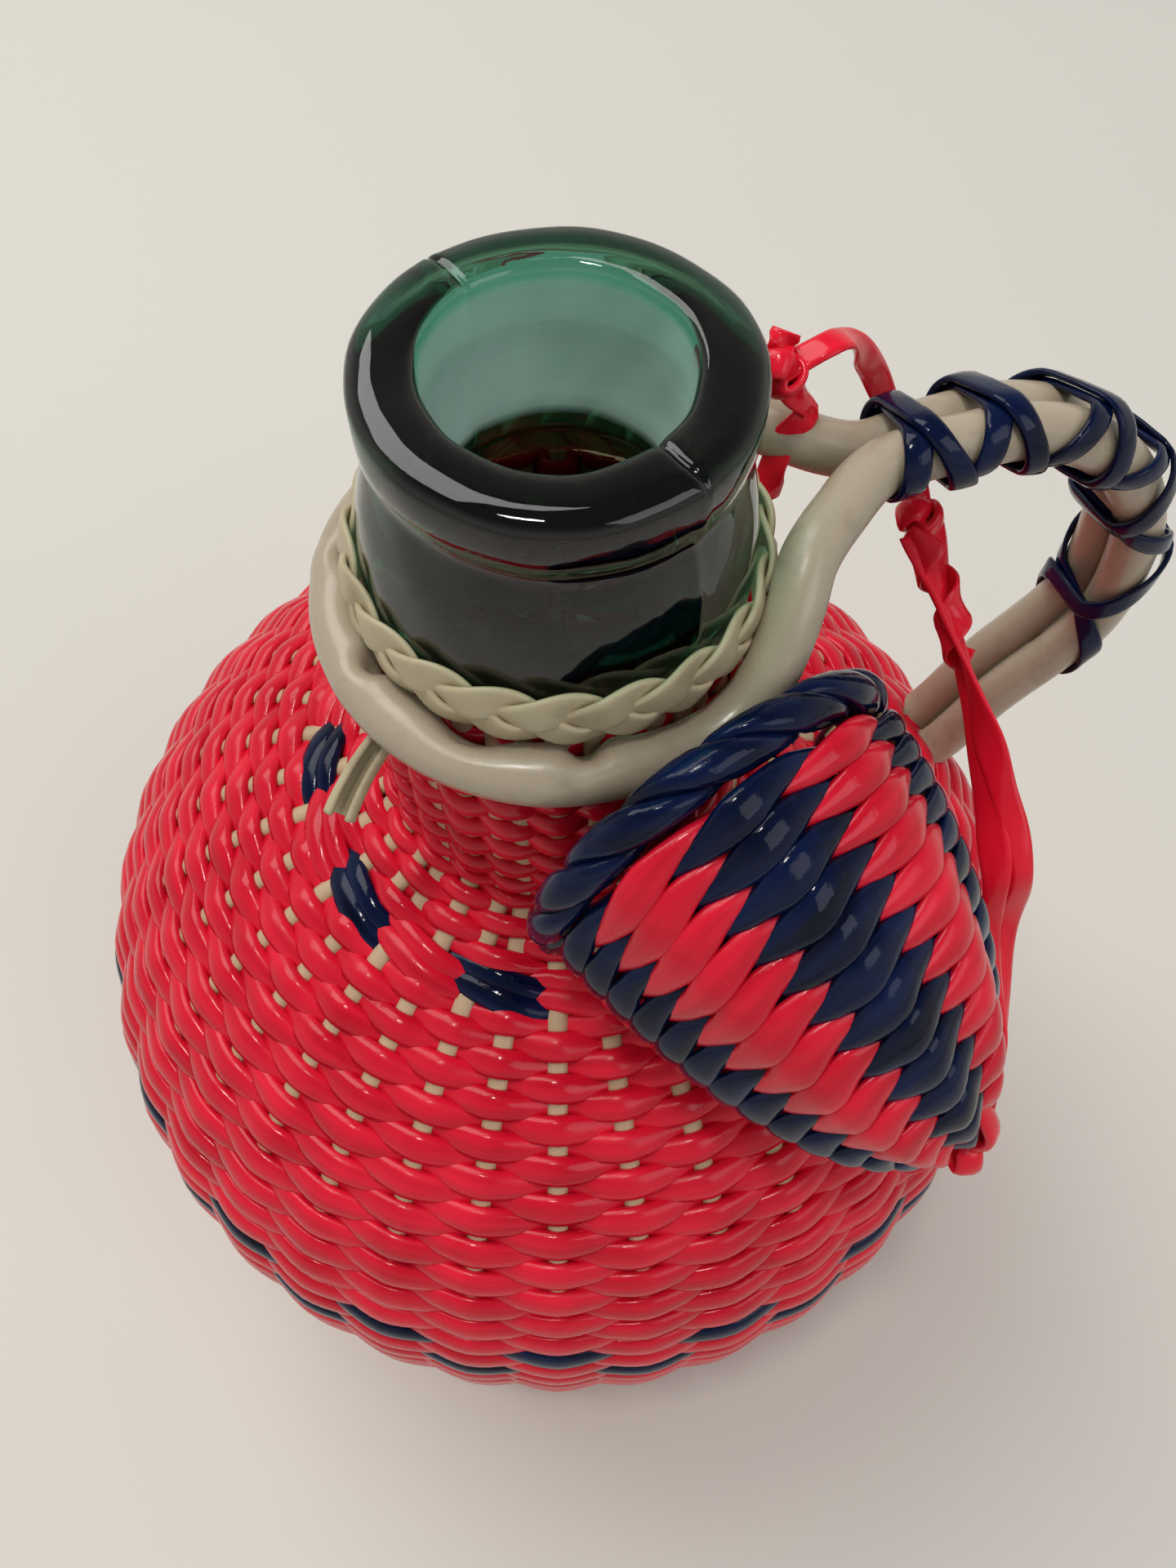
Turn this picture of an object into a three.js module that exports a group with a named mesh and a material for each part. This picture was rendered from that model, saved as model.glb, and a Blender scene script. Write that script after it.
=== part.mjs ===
import * as THREE from "three";

// Sizes in millimetres and degrees. The bottle's axis is Z and the floor is z = 0.
// The front is -Y, and the handle stands to the right, a little behind the middle.
const CLEAR = 0.3; // between pieces that lie against each other

// Glass bottle
const BELLY_R = 99.2;
const UPPER_H = 89.4; // widest height to where the shoulder's curve would close
const UPPER_POWER = 2.41;
const LOWER_H = 96; // the same below, down to under the base
const BASE_CUT = 7.3; // end of the lower curve that the flat base cuts off
const LOWER_POWER = 2.6;
const SHOULDER_R = 44; // the shoulder turns up into the neck inside this radius
const NECK_R = 24.5;
const NECK_TURN_H = 17; // height of that turn
const COLLAR_R = 28.5;
const COLLAR_Z = 250.5; // lower edge of the collar
const COLLAR_H = 29.5; // from there up to the widest ring of the lip
const LIP_R = 26;
const LIP_ROUND = 5.5;
const BORE_R = 17;
const BORE_H = 26; // straight bore below the lip's top
const GLASS_WALL = 3.4;
const NECK_WALL = 4;
const PUNT_R = 40;
const PUNT_H = 14;

// Woven jacket
const STAKE_COUNT = 36;
const STAKE_D = 3.2;
const PAIR_SHIFT = 1.4; // degrees by which the stakes of a pair close up on the neck
const UNDER_T = 2.4; // room for the weft that passes behind a stake
const WEFT_T = 2.1; // weft that passes over a stake
const VALLEY_DROP = 2.8; // how far the weave sinks between two stakes
const STAKE_COVER = 0.6; // left over a stake where the weft passes behind it
const ROW_PITCH = 3.4;
const BELLY_ROW_Z = 128; // upper of the two blue belly rows
const BELLY_ROWS_BETWEEN = 2;
const WEAVE_END_Z = 16.2; // glass height at which the weave ends above the foot
const BASE_T = 6;
const FOOT_GAP = 2; // between the glass and the inside of the foot border

// Plaited collar
const BRAID_T = 2.2;
const BRAID_H = 9;
const BRAID_DROP = 4; // part of it below the glass collar's edge
const TAIL_L = 16;
const TAIL_W = 6;
const TAIL_T = 2.2;
const TAIL_AZIMUTH = 228;
const TAIL_SLOPE = 32;

// Handle
const TUBE_D = 8.4;
const TUBE_WALL = 1.5;
const WIRE_D = 3;
const RING_SLACK = 0.9;
const HANDLE_AZIMUTH = 15;
const HANDLE_REACH = 104;
const HANDLE_RISE = 15.8; // top of the handle's run above the neck loop
const HANDLE_FOOT_Z = 158.5;
const LASH_W = 3.4;
const LASH_T = 1.6;
const LASH_TURNS = 5.5; // each way

// Cap and tether
const CAP_AZIMUTH = -55; // of the mouth
const CAP_LEAN = 14; // the tip lies further round to the right
const CAP_HALF_W = 32;
const CAP_HALF_H = 29.5;
const CAP_L = 73;
const CAP_SLOPE = 38;
const CAP_MOUTH_TILT = 6;
const CAP_WALL = 5.5;
const CAP_MOUTH = 0.05; // share of the length at which the rim meets the weave
const CAP_RIM_D = 6.4;
const KNOT_D = 8.4;
const TETHER_D = 5.2;
const TETHER_BOW = 10;
const HITCH_D = 3.2;

const rad = THREE.MathUtils.degToRad;
const group = new THREE.Group();
group.name = "cord_wrapped_carafe";

const LOOKS = {
  glass: { color: 0x1d3a2c, roughness: 0.12, metalness: 0 },
  red: { color: 0xc81d2b, roughness: 0.34, metalness: 0 },
  navy: { color: 0x17264f, roughness: 0.36, metalness: 0 },
  stake: { color: 0xb79a78, roughness: 0.5, metalness: 0 },
  tube: { color: 0xb9a893, roughness: 0.42, metalness: 0 },
  cream: { color: 0xcdbe9a, roughness: 0.6, metalness: 0 },
  steel: { color: 0x9a9c9e, roughness: 0.4, metalness: 1 },
};

function addPiece(name, geometry, look) {
  const mesh = new THREE.Mesh(geometry, new THREE.MeshStandardMaterial(LOOKS[look]));
  mesh.name = name;
  group.add(mesh);
}

function polar(radius, degrees, z) {
  return new THREE.Vector3(radius * Math.cos(rad(degrees)), radius * Math.sin(rad(degrees)), z);
}

// Outside of the glass, from the top of the neck down to the base, as radius and height.
const glassBaseZ = BASE_T + CLEAR;
const bellyZ = glassBaseZ + LOWER_H - BASE_CUT; // widest height

function bellyRadius(z) {
  const up = z > bellyZ;
  const power = up ? UPPER_POWER : LOWER_POWER;
  const share = Math.min(1, Math.abs(z - bellyZ) / (up ? UPPER_H : LOWER_H));
  return BELLY_R * (1 - share ** power) ** (1 / power);
}

function shoulderHeight(radius) {
  return bellyZ + UPPER_H * (1 - (radius / BELLY_R) ** UPPER_POWER) ** (1 / UPPER_POWER);
}

const shoulderZ = shoulderHeight(SHOULDER_R);
const shoulderSlope = shoulderHeight(SHOULDER_R - 0.5) - shoulderHeight(SHOULDER_R + 0.5);
const neckFootZ = shoulderZ + NECK_TURN_H;
const neckTopZ = COLLAR_Z - BRAID_DROP;
const neckTurn = new THREE.CubicBezierCurve(
  new THREE.Vector2(NECK_R, neckFootZ),
  new THREE.Vector2(NECK_R, neckFootZ - NECK_TURN_H * 0.5),
  new THREE.Vector2(SHOULDER_R - 10, shoulderZ + 10 * shoulderSlope),
  new THREE.Vector2(SHOULDER_R, shoulderZ),
);

function arcHeight(share, half, power) {
  return half * Math.sin(share * Math.PI / 2) ** (2 / power);
}

function meridianPoints(turnSteps, upperSteps, lowerSteps) {
  const line = [new THREE.Vector2(NECK_R, neckTopZ), ...neckTurn.getPoints(turnSteps)];
  const top = Math.asin(((shoulderZ - bellyZ) / UPPER_H) ** (UPPER_POWER / 2));
  for (let i = upperSteps - 1; i >= 0; i--) {
    const z = bellyZ + arcHeight(top / (Math.PI / 2) * i / upperSteps, UPPER_H, UPPER_POWER);
    line.push(new THREE.Vector2(bellyRadius(z), z));
  }
  const low = Math.asin(((bellyZ - glassBaseZ) / LOWER_H) ** (LOWER_POWER / 2));
  for (let i = 1; i <= lowerSteps; i++) {
    const z = bellyZ - arcHeight(low / (Math.PI / 2) * i / lowerSteps, LOWER_H, LOWER_POWER);
    line.push(new THREE.Vector2(bellyRadius(z), z));
  }
  return line;
}

// A fine copy of that line, with its length so far and its outward direction.
const meridian = meridianPoints(24, 80, 80);
const along = [0];
for (let i = 1; i < meridian.length; i++) {
  along.push(along[i - 1] + meridian[i].distanceTo(meridian[i - 1]));
}

function onGlass(s, offset) {
  let i = 1;
  while (i < along.length - 1 && along[i] < s) {
    i++;
  }
  const share = (s - along[i - 1]) / (along[i] - along[i - 1]);
  const point = meridian[i - 1].clone().lerp(meridian[i], share);
  const before = meridian[Math.max(0, i - 2)];
  const after = meridian[Math.min(meridian.length - 1, i + 1)];
  const way = after.clone().sub(before).normalize();
  return new THREE.Vector2(point.x - way.y * offset, point.y + way.x * offset);
}

function lengthAtHeight(z) {
  const i = meridian.findIndex((p) => p.y <= z);
  const share = (meridian[i - 1].y - z) / (meridian[i - 1].y - meridian[i].y);
  return along[i - 1] + share * (along[i] - along[i - 1]);
}

// Layers of the jacket, measured outward from the glass.
const stakeOffset = UNDER_T + STAKE_D / 2;
const crestIn = UNDER_T + STAKE_D + CLEAR;
const crestOut = crestIn + WEFT_T;
const envelope = [];
for (let s = 0; s < lengthAtHeight(WEAVE_END_Z); s += 0.5) {
  envelope.push(onGlass(s, crestOut));
}

function envelopeHeight(radius) {
  const i = envelope.findIndex((p) => p.x >= radius);
  return i < 0 ? -Infinity : envelope[i].y;
}

// The bottle: one closed wall from the underside of the punt round to its inside.
const lipZ = COLLAR_Z + COLLAR_H;
const lipTopZ = lipZ + LIP_ROUND;
const lipCentreR = LIP_R - LIP_ROUND;
const outside = meridianPoints(3, 6, 5).reverse();
const inside = meridianPoints(3, 5, 4).map((p, i, line) => {
  const way = line[Math.min(i + 1, line.length - 1)].clone().sub(line[Math.max(i - 1, 0)]);
  way.normalize();
  const wall = p.x > NECK_R + 0.01 ? GLASS_WALL : NECK_WALL;
  return new THREE.Vector2(p.x + way.y * wall, p.y - way.x * wall);
});
const bottle = [
  [0, glassBaseZ + PUNT_H],
  [PUNT_R * 0.55, glassBaseZ + PUNT_H * 0.8],
  [PUNT_R, glassBaseZ + PUNT_H * 0.08],
  [PUNT_R + 4, glassBaseZ],
].map(([r, z]) => new THREE.Vector2(r, z));
bottle.push(...outside);
bottle.push(new THREE.Vector2(COLLAR_R - 0.9, COLLAR_Z - 0.6));
bottle.push(new THREE.Vector2(COLLAR_R, COLLAR_Z + 1.5));
bottle.push(new THREE.Vector2(COLLAR_R - 0.7, COLLAR_Z + COLLAR_H * 0.4));
bottle.push(new THREE.Vector2(LIP_R - 0.7, lipZ - LIP_ROUND - 1.6));
for (let i = 0; i <= 6; i++) {
  const turn = rad(-50 + i * 35);
  const side = lipCentreR + LIP_ROUND * Math.cos(turn);
  const height = lipZ + LIP_ROUND * Math.sin(turn);
  bottle.push(new THREE.Vector2(Math.max(side, BORE_R - 0.4), height));
}
bottle.push(new THREE.Vector2(BORE_R, lipTopZ - BORE_H));
inside[0].y = lipTopZ - BORE_H - 6;
bottle.push(...inside.slice(0, -1));
const floorR = PUNT_R + 2;
bottle.push(new THREE.Vector2(floorR, glassBaseZ + GLASS_WALL));
bottle.push(new THREE.Vector2(PUNT_R * 0.55, glassBaseZ + PUNT_H * 0.8 + GLASS_WALL));
bottle.push(new THREE.Vector2(0, glassBaseZ + PUNT_H + GLASS_WALL));
addPiece("glass_bottle", turned(bottle, 24), "glass");

// A body of revolution about Z from a profile of radius and height.
function turned(profile, segments) {
  const lathe = new THREE.LatheGeometry(profile, segments);
  return lathe.rotateX(Math.PI / 2);
}

// A closed skin over rows of points, each row a closed ring of the same count.
// The rows run round a section from the outside in, so the last row joins the first.
function ringBody(rows) {
  const count = rows[0].length;
  const positions = rows.flat().flatMap((p) => [p.x, p.y, p.z]);
  const faces = [];
  for (let i = 0; i < rows.length; i++) {
    const next = (i + 1) % rows.length;
    for (let j = 0; j < count; j++) {
      const a = i * count + j;
      const b = i * count + (j + 1) % count;
      const c = next * count + (j + 1) % count;
      const d = next * count + j;
      faces.push(a, d, b, b, d, c);
    }
  }
  const geometry = new THREE.BufferGeometry();
  geometry.setAttribute("position", new THREE.Float32BufferAttribute(positions, 3));
  geometry.setIndex(faces);
  return geometry;
}

// A closed skin over rows of points that starts and ends in a flat or pointed end.
function tubeBody(rows) {
  const count = rows[0].length;
  const positions = rows.flat().flatMap((p) => [p.x, p.y, p.z]);
  const faces = [];
  for (let i = 0; i + 1 < rows.length; i++) {
    for (let j = 0; j < count; j++) {
      const a = i * count + j;
      const b = i * count + (j + 1) % count;
      faces.push(a, b, a + count, b, b + count, a + count);
    }
  }
  const last = (rows.length - 1) * count;
  for (let j = 1; j + 1 < count; j++) {
    faces.push(0, j + 1, j, last, last + j, last + j + 1);
  }
  const geometry = new THREE.BufferGeometry();
  geometry.setAttribute("position", new THREE.Float32BufferAttribute(positions, 3));
  geometry.setIndex(faces);
  return geometry;
}

// A plain band of the weave between two lengths of the glass.
// Its rows lie at the stakes' own bends.
function plainBand(from, to) {
  const lengths = [from, ...bendsBetween(from, to), to];
  const levels = lengths.map((s) => [s, crestOut]);
  levels.push(...lengths.reverse().map((s) => [s, crestIn]));
  const rows = levels.map(([s, offset]) => {
    const p = onGlass(s, offset);
    return Array.from({ length: STAKE_COUNT }, (_, j) => polar(p.x, 360 * j / STAKE_COUNT, p.y));
  });
  return ringBody(rows);
}

function bendsBetween(from, to) {
  return bendLengths.filter((s) => s > from + 1 && s < to - 1);
}

// A woven band: row by row the weft stands out over every other stake, and it sinks between stakes.
function wovenBand(from, to, firstRow) {
  const positions = [];
  const faces = [];
  const put = (s, offset, j) => {
    const p = onGlass(s, offset);
    positions.push(...polar(p.x, 180 * j / STAKE_COUNT, p.y));
    return { s, at: positions.length / 3 - 1 };
  };
  const rowCount = Math.max(1, Math.round((to - from) / ROW_PITCH));
  const lengths = [from, ...bendsBetween(from, to), to];
  const columns = [];
  for (let j = 0; j < STAKE_COUNT * 2; j++) {
    const sunk = j % 2 ? VALLEY_DROP : 0;
    let outer = lengths.map((s) => [s, crestOut - sunk]);
    if (!sunk) {
      const middle = (crestOut + crestIn + STAKE_COVER) / 2;
      outer = [[from, middle]];
      for (let i = 0; i < rowCount; i++) {
        const behind = (j / 2 + firstRow + i) % 2 === 1;
        outer.push([from + (to - from) * (i + 0.5) / rowCount, behind ? crestIn + STAKE_COVER : crestOut]);
      }
      outer.push([to, middle]);
    }
    columns.push({
      outer: outer.map(([s, offset]) => put(s, offset, j)),
      inner: lengths.map((s) => put(s, crestIn - sunk, j)),
    });
  }
  columns.forEach(({ outer, inner }, j) => {
    const next = columns[(j + 1) % columns.length];
    faces.push(...between(outer, next.outer), ...between(next.inner, inner));
    const [a, b, c, d] = [outer, next.outer, inner, next.inner].map((line) => line[0].at);
    faces.push(a, b, c, b, d, c);
    const [e, f, g, h] = [outer, next.outer, inner, next.inner].map((line) => line.at(-1).at);
    faces.push(e, g, f, f, g, h);
  });
  const geometry = new THREE.BufferGeometry();
  geometry.setAttribute("position", new THREE.Float32BufferAttribute(positions, 3));
  geometry.setIndex(faces);
  return geometry;
}

// Triangles of the strip between two lines that run side by side.
function between(left, right) {
  const faces = [];
  let i = 0;
  let k = 0;
  while (i + 1 < left.length || k + 1 < right.length) {
    const byLeft = k + 1 === right.length || (i + 1 < left.length && left[i + 1].s <= right[k + 1].s);
    faces.push(left[i].at, byLeft ? left[i + 1].at : right[k + 1].at, right[k].at);
    byLeft ? i++ : k++;
  }
  return faces;
}

// Heights of the neck's rings: the plait, then the tube's loop, then the woven sleeve.
const braidFootZ = COLLAR_Z - BRAID_DROP;
const braidIn = COLLAR_R + CLEAR;
const braidOut = braidIn + BRAID_T;
const tubeR = TUBE_D / 2;
const ringZ = braidFootZ - CLEAR - tubeR;
const ringR = NECK_R + CLEAR + STAKE_D + CLEAR + RING_SLACK + tubeR;
const sleeveTopZ = ringZ - tubeR - CLEAR;

// Lengths along the glass at which the rows of the weave change and the stakes bend.
const gap = CLEAR / 2;
const splitAt = lengthAtHeight(shoulderZ);
const bellyRowAt = lengthAtHeight(BELLY_ROW_Z);
const bellyRowTo = bellyRowAt + ROW_PITCH;
const lowerRowAt = bellyRowTo + BELLY_ROWS_BETWEEN * ROW_PITCH;
const lowerRowTo = lowerRowAt + ROW_PITCH;
const weaveEnd = lengthAtHeight(WEAVE_END_Z);
const bendLengths = [neckTopZ - 1, ringZ + 1, sleeveTopZ - 3, neckFootZ].map(lengthAtHeight);
bendLengths.push(lengthAtHeight(neckTurn.getPoint(0.4).y));
bendLengths.push(splitAt - ROW_PITCH, splitAt + ROW_PITCH);
for (const p of meridianPoints(1, 4, 4).slice(3)) {
  if (p.y > WEAVE_END_Z + 8) {
    bendLengths.push(lengthAtHeight(p.y));
  }
}
bendLengths.push(weaveEnd - 1);

// The weave, from the sleeve down to the foot.
const bands = [
  ["neck_weave", lengthAtHeight(sleeveTopZ), splitAt - ROW_PITCH, false, "red"],
  ["split_row_upper", splitAt - ROW_PITCH, splitAt, false, "navy"],
  ["split_row_lower", splitAt, splitAt + ROW_PITCH, false, "navy"],
  ["shoulder_weave", splitAt + ROW_PITCH, bellyRowAt, true, "red"],
  ["belly_row_upper", bellyRowAt, bellyRowTo, true, "navy"],
  ["belly_weave", bellyRowTo, lowerRowAt, true, "red"],
  ["belly_row_lower", lowerRowAt, lowerRowTo, true, "navy"],
  ["lower_weave", lowerRowTo, weaveEnd, true, "red"],
];
let rowsDone = 0;
for (const [name, from, to, woven, look] of bands) {
  if (woven) {
    addPiece(name, wovenBand(from + gap, to - gap, rowsDone), look);
    rowsDone += Math.round((to - from) / ROW_PITCH);
  } else {
    addPiece(name, plainBand(from + gap, to - gap), look);
  }
}

// Stakes: each lies in the weave and slips in against the glass behind the tube's loop.
for (let k = 0; k < STAKE_COUNT; k++) {
  const closing = [0, PAIR_SHIFT, -PAIR_SHIFT][k % 3];
  const angle = 360 * k / STAKE_COUNT;
  const rows = bendLengths.map((s, i) => {
    const offset = i < 2 ? CLEAR + STAKE_D / 2 : stakeOffset;
    const turn = angle + (i < 5 ? closing : 0);
    const centre = onGlass(s, offset);
    const out = onGlass(s, offset + STAKE_D / 2).sub(centre);
    const middle = polar(centre.x, turn, centre.y);
    const outward = polar(out.x, turn, out.y);
    const sideways = polar(STAKE_D / 2, turn + 90, 0);
    return [0, 1, 2, 3].map((q) => {
      const way = q % 2 ? sideways : outward;
      return middle.clone().addScaledVector(way, q < 2 ? 1 : -1);
    });
  });
  rows.reverse();
  addPiece("stake_" + String(k + 1).padStart(2, "0"), tubeBody(rows), "stake");
}

// Foot border and base disc, both flat on the floor.
const weaveEndPoint = onGlass(weaveEnd - gap, crestOut);
const footTopZ = weaveEndPoint.y - CLEAR;
const footInR = bellyRadius(footTopZ) + FOOT_GAP;
const footOutR = weaveEndPoint.x;
const footBorder = [
  [footInR, 0],
  [footOutR - 3, 0],
  [footOutR, 3],
  [footOutR, footTopZ - 3],
  [footOutR - 3, footTopZ],
  [footInR, footTopZ],
  [footInR, 0],
].map(([r, z]) => new THREE.Vector2(r, z));
addPiece("foot_border", turned(footBorder, 36), "red");
const baseR = footInR - CLEAR;
const baseDisc = [
  [0, 0],
  [baseR, 0],
  [baseR, BASE_T - 2],
  [baseR - 2, BASE_T],
  [0, BASE_T],
].map(([r, z]) => new THREE.Vector2(r, z));
addPiece("base_disc", turned(baseDisc, 36), "red");

// Plaited collar and its folded tail under the tube's loop.
const braid = [
  [braidIn, braidFootZ],
  [braidOut - 0.4, braidFootZ],
  [braidOut, braidFootZ + BRAID_H * 0.5],
  [braidOut - 0.4, braidFootZ + BRAID_H],
  [braidIn, braidFootZ + BRAID_H],
  [braidIn, braidFootZ],
].map(([r, z]) => new THREE.Vector2(r, z));
addPiece("neck_braid", turned(braid, 36), "cream");
const tailShape = new THREE.Shape();
tailShape.moveTo(0, -TAIL_W / 2);
tailShape.lineTo(TAIL_L - 2, -TAIL_W / 2);
tailShape.lineTo(TAIL_L, -TAIL_W / 2 + 2);
tailShape.lineTo(TAIL_L, TAIL_W / 2 - 1);
tailShape.lineTo(TAIL_L - 1, TAIL_W / 2);
tailShape.lineTo(0, TAIL_W / 2);
tailShape.closePath();
const tail = new THREE.ExtrudeGeometry(tailShape, { depth: TAIL_T, bevelEnabled: false });
tail.rotateY(rad(TAIL_SLOPE));
const tailIn = NECK_R + crestOut + 2 * CLEAR;
tail.translate(tailIn, 0, sleeveTopZ - TAIL_T - 2 * CLEAR);
tail.rotateZ(rad(TAIL_AZIMUTH));
addPiece("braid_tail", tail, "cream");

// Handle. In its plane a point has a distance from the axis, a side offset and a height.
const outwardH = polar(1, HANDLE_AZIMUTH, 0);
const sidewaysH = polar(1, HANDLE_AZIMUTH + 90, 0);

function inHandle(reach, side, z) {
  const p = outwardH.clone().multiplyScalar(reach).addScaledVector(sidewaysH, side);
  p.z = z;
  return p;
}

const footAt = lengthAtHeight(HANDLE_FOOT_Z);
const footPoint = onGlass(footAt, crestOut + 2 * CLEAR);
const run = [
  [HANDLE_REACH * 0.45, ringZ + HANDLE_RISE * 0.88],
  [HANDLE_REACH * 0.56, ringZ + HANDLE_RISE],
  [HANDLE_REACH * 0.68, ringZ + HANDLE_RISE * 0.98],
  [HANDLE_REACH * 0.82, ringZ + HANDLE_RISE * 0.53],
  [HANDLE_REACH * 0.94, ringZ - HANDLE_RISE * 0.4],
  [HANDLE_REACH * 0.99, ringZ - HANDLE_RISE * 1.3],
  [HANDLE_REACH, ringZ - HANDLE_RISE * 2.6],
  [footPoint.x + HANDLE_REACH * 0.07, footPoint.y + 16],
  [footPoint.x, footPoint.y],
];
const besideR = braidOut + CLEAR + tubeR + 0.3; // where the tube passes beside the plait
const pairSide = tubeR + CLEAR;
const frontNeck = [
  polar(besideR + 8.2, HANDLE_AZIMUTH - 5.5, ringZ + HANDLE_RISE * 0.87),
  polar(besideR + 3.4, HANDLE_AZIMUTH - 15, ringZ + HANDLE_RISE * 0.92),
  polar(besideR - 0.4, HANDLE_AZIMUTH - 27, ringZ + HANDLE_RISE * 0.9),
  polar(besideR - 0.5, HANDLE_AZIMUTH - 37, ringZ + HANDLE_RISE * 0.72),
  polar(besideR - 0.3, HANDLE_AZIMUTH - 46, ringZ + HANDLE_RISE * 0.44),
  polar(besideR - 0.4, HANDLE_AZIMUTH - 56, ringZ + HANDLE_RISE * 0.16),
  polar(besideR - 1.2, HANDLE_AZIMUTH - 67, ringZ + HANDLE_RISE * 0.02),
];
const backNeck = [
  polar(besideR, HANDLE_AZIMUTH + 92, ringZ + HANDLE_RISE * 0.12),
  polar(besideR, HANDLE_AZIMUTH + 62, ringZ + HANDLE_RISE * 0.4),
  polar(besideR, HANDLE_AZIMUTH + 33, ringZ + HANDLE_RISE * 0.72),
  polar(besideR + 1.2, HANDLE_AZIMUTH + 14, ringZ + HANDLE_RISE * 0.88),
];
const tubePoints = [];
for (const [reach, z] of run.slice().reverse()) {
  tubePoints.push(inHandle(reach, -pairSide, z));
}
tubePoints.push(...frontNeck);
for (let a = HANDLE_AZIMUTH - 85; a > HANDLE_AZIMUTH - 240; a -= 25) {
  tubePoints.push(polar(ringR, a, ringZ));
}
tubePoints.push(...backNeck);
for (const [reach, z] of run) {
  tubePoints.push(inHandle(reach, pairSide, z));
}
const tubePath = new THREE.CatmullRomCurve3(tubePoints, false, "centripetal");

function roundShape(diameter, sides) {
  const shape = new THREE.Shape();
  for (let i = 0; i <= sides; i++) {
    const a = 2 * Math.PI * i / sides;
    const x = diameter / 2 * Math.cos(a);
    const y = diameter / 2 * Math.sin(a);
    i ? shape.lineTo(x, y) : shape.moveTo(x, y);
  }
  return shape;
}

const tubeShape = roundShape(TUBE_D, 8);
tubeShape.holes.push(roundShape(TUBE_D - 2 * TUBE_WALL, 6));
const tubeSteps = 62;
addPiece(
  "handle_tube",
  new THREE.ExtrudeGeometry(tubeShape, { steps: tubeSteps, extrudePath: tubePath }),
  "tube",
);

// The core wire runs the tube's whole length, a little short of both ends.
const wireLine = [];
for (let i = 0; i <= tubeSteps; i++) {
  const share = i / tubeSteps;
  wireLine.push(tubePath.getPointAt(Math.min(0.992, Math.max(0.008, share))));
}
const wirePath = new THREE.CatmullRomCurve3(wireLine, false, "centripetal");
addPiece(
  "handle_core_wire",
  new THREE.ExtrudeGeometry(roundShape(WIRE_D, 5), { steps: tubeSteps, extrudePath: wirePath }),
  "steel",
);

// Lashing: one flat cord wound down the handle and back up, over its own first way.
const runPath = new THREE.CatmullRomCurve3(
  run.map(([reach, z]) => inHandle(reach, 0, z)),
  false,
  "centripetal",
);
const lashFrom = 0.03;
const lashTo = 0.9;
const lashSteps = 18;
const lashInner = tubeR + CLEAR + LASH_T / 2 + 0.15;
const lashLift = LASH_T + 0.7;
const lashRows = [];
for (let i = 0; i <= LASH_TURNS * 2 * lashSteps; i++) {
  const turns = i / lashSteps;
  const back = turns > LASH_TURNS;
  const way = 1 - Math.abs(turns - LASH_TURNS) / LASH_TURNS;
  const share = lashFrom + (lashTo - lashFrom) * way;
  const toCrossing = Math.abs(turns - LASH_TURNS) * 2;
  const fromCrossing = Math.abs(toCrossing - Math.round(toCrossing)) * 2;
  const first = Math.round(toCrossing) === 0;
  const lift = back && !first ? Math.min(1, Math.max(0, 1.75 - 2.5 * fromCrossing)) : 0;
  const turn = 2 * Math.PI * turns + Math.PI * (1.5 - 2 * LASH_TURNS);
  const centre = runPath.getPointAt(share);
  const tangent = runPath.getTangentAt(share);
  const normal = new THREE.Vector3().crossVectors(sidewaysH, tangent);
  const outward = sidewaysH.clone().multiplyScalar(Math.cos(turn));
  outward.addScaledVector(normal, Math.sin(turn));
  const point = centre.clone().addScaledVector(sidewaysH, pairSide * Math.tanh(8 * Math.cos(turn)));
  point.addScaledVector(outward, lashInner + lashLift * lift);
  lashRows.push({ point, outward });
}
const lashSection = lashRows.map(({ point, outward }, i) => {
  const before = lashRows[Math.max(0, i - 1)].point;
  const after = lashRows[Math.min(lashRows.length - 1, i + 1)].point;
  const way = after.clone().sub(before).normalize();
  const out = outward.clone().addScaledVector(way, -outward.dot(way)).normalize();
  const across = new THREE.Vector3().crossVectors(way, out);
  return [90, 162, 234, 306, 18].map((a) => {
    const p = point.clone().addScaledVector(out, LASH_T / 2 * Math.sin(rad(a)));
    return p.addScaledVector(across, LASH_W / 2 * Math.cos(rad(a)));
  });
});
addPiece("handle_lashing", tubeBody(lashSection.map((row) => row.slice().reverse())), "navy");
let lashGap = Infinity;
for (let i = 0; i < lashSection.length; i++) {
  for (let j = i + 8; j < lashSection.length; j++) {
    if (lashRows[i].point.distanceTo(lashRows[j].point) > 8) {
      continue;
    }
    for (const a of lashSection[i]) {
      for (const b of lashSection[j]) {
        lashGap = Math.min(lashGap, a.distanceTo(b));
      }
    }
  }
}
console.log("least gap of handle_lashing to itself on its points: " + lashGap.toFixed(2) + " mm");

// Cap: an oval cone that lies on the shoulder with its mouth against the tube's loop.
const upright = new THREE.Vector3(0, 0, 1);
const mouthOut = polar(1, CAP_AZIMUTH, 0);
const mouthSide = polar(1, CAP_AZIMUTH + 90, 0);
const tipOut = polar(1, CAP_AZIMUTH + CAP_LEAN, 0);
const tipSide = polar(1, CAP_AZIMUTH + CAP_LEAN + 90, 0);

function leaning(level, climb, degrees) {
  const way = level.clone().multiplyScalar(Math.cos(rad(degrees)));
  return way.addScaledVector(upright, climb * Math.sin(rad(degrees)));
}

const capAxis = leaning(tipOut, -1, CAP_SLOPE);
const tipUp = leaning(tipOut, 1, 90 - CAP_SLOPE);
const mouthAway = leaning(mouthOut, -1, CAP_MOUTH_TILT);
const mouthUp = leaning(mouthOut, 1, 90 - CAP_MOUTH_TILT);

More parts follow.
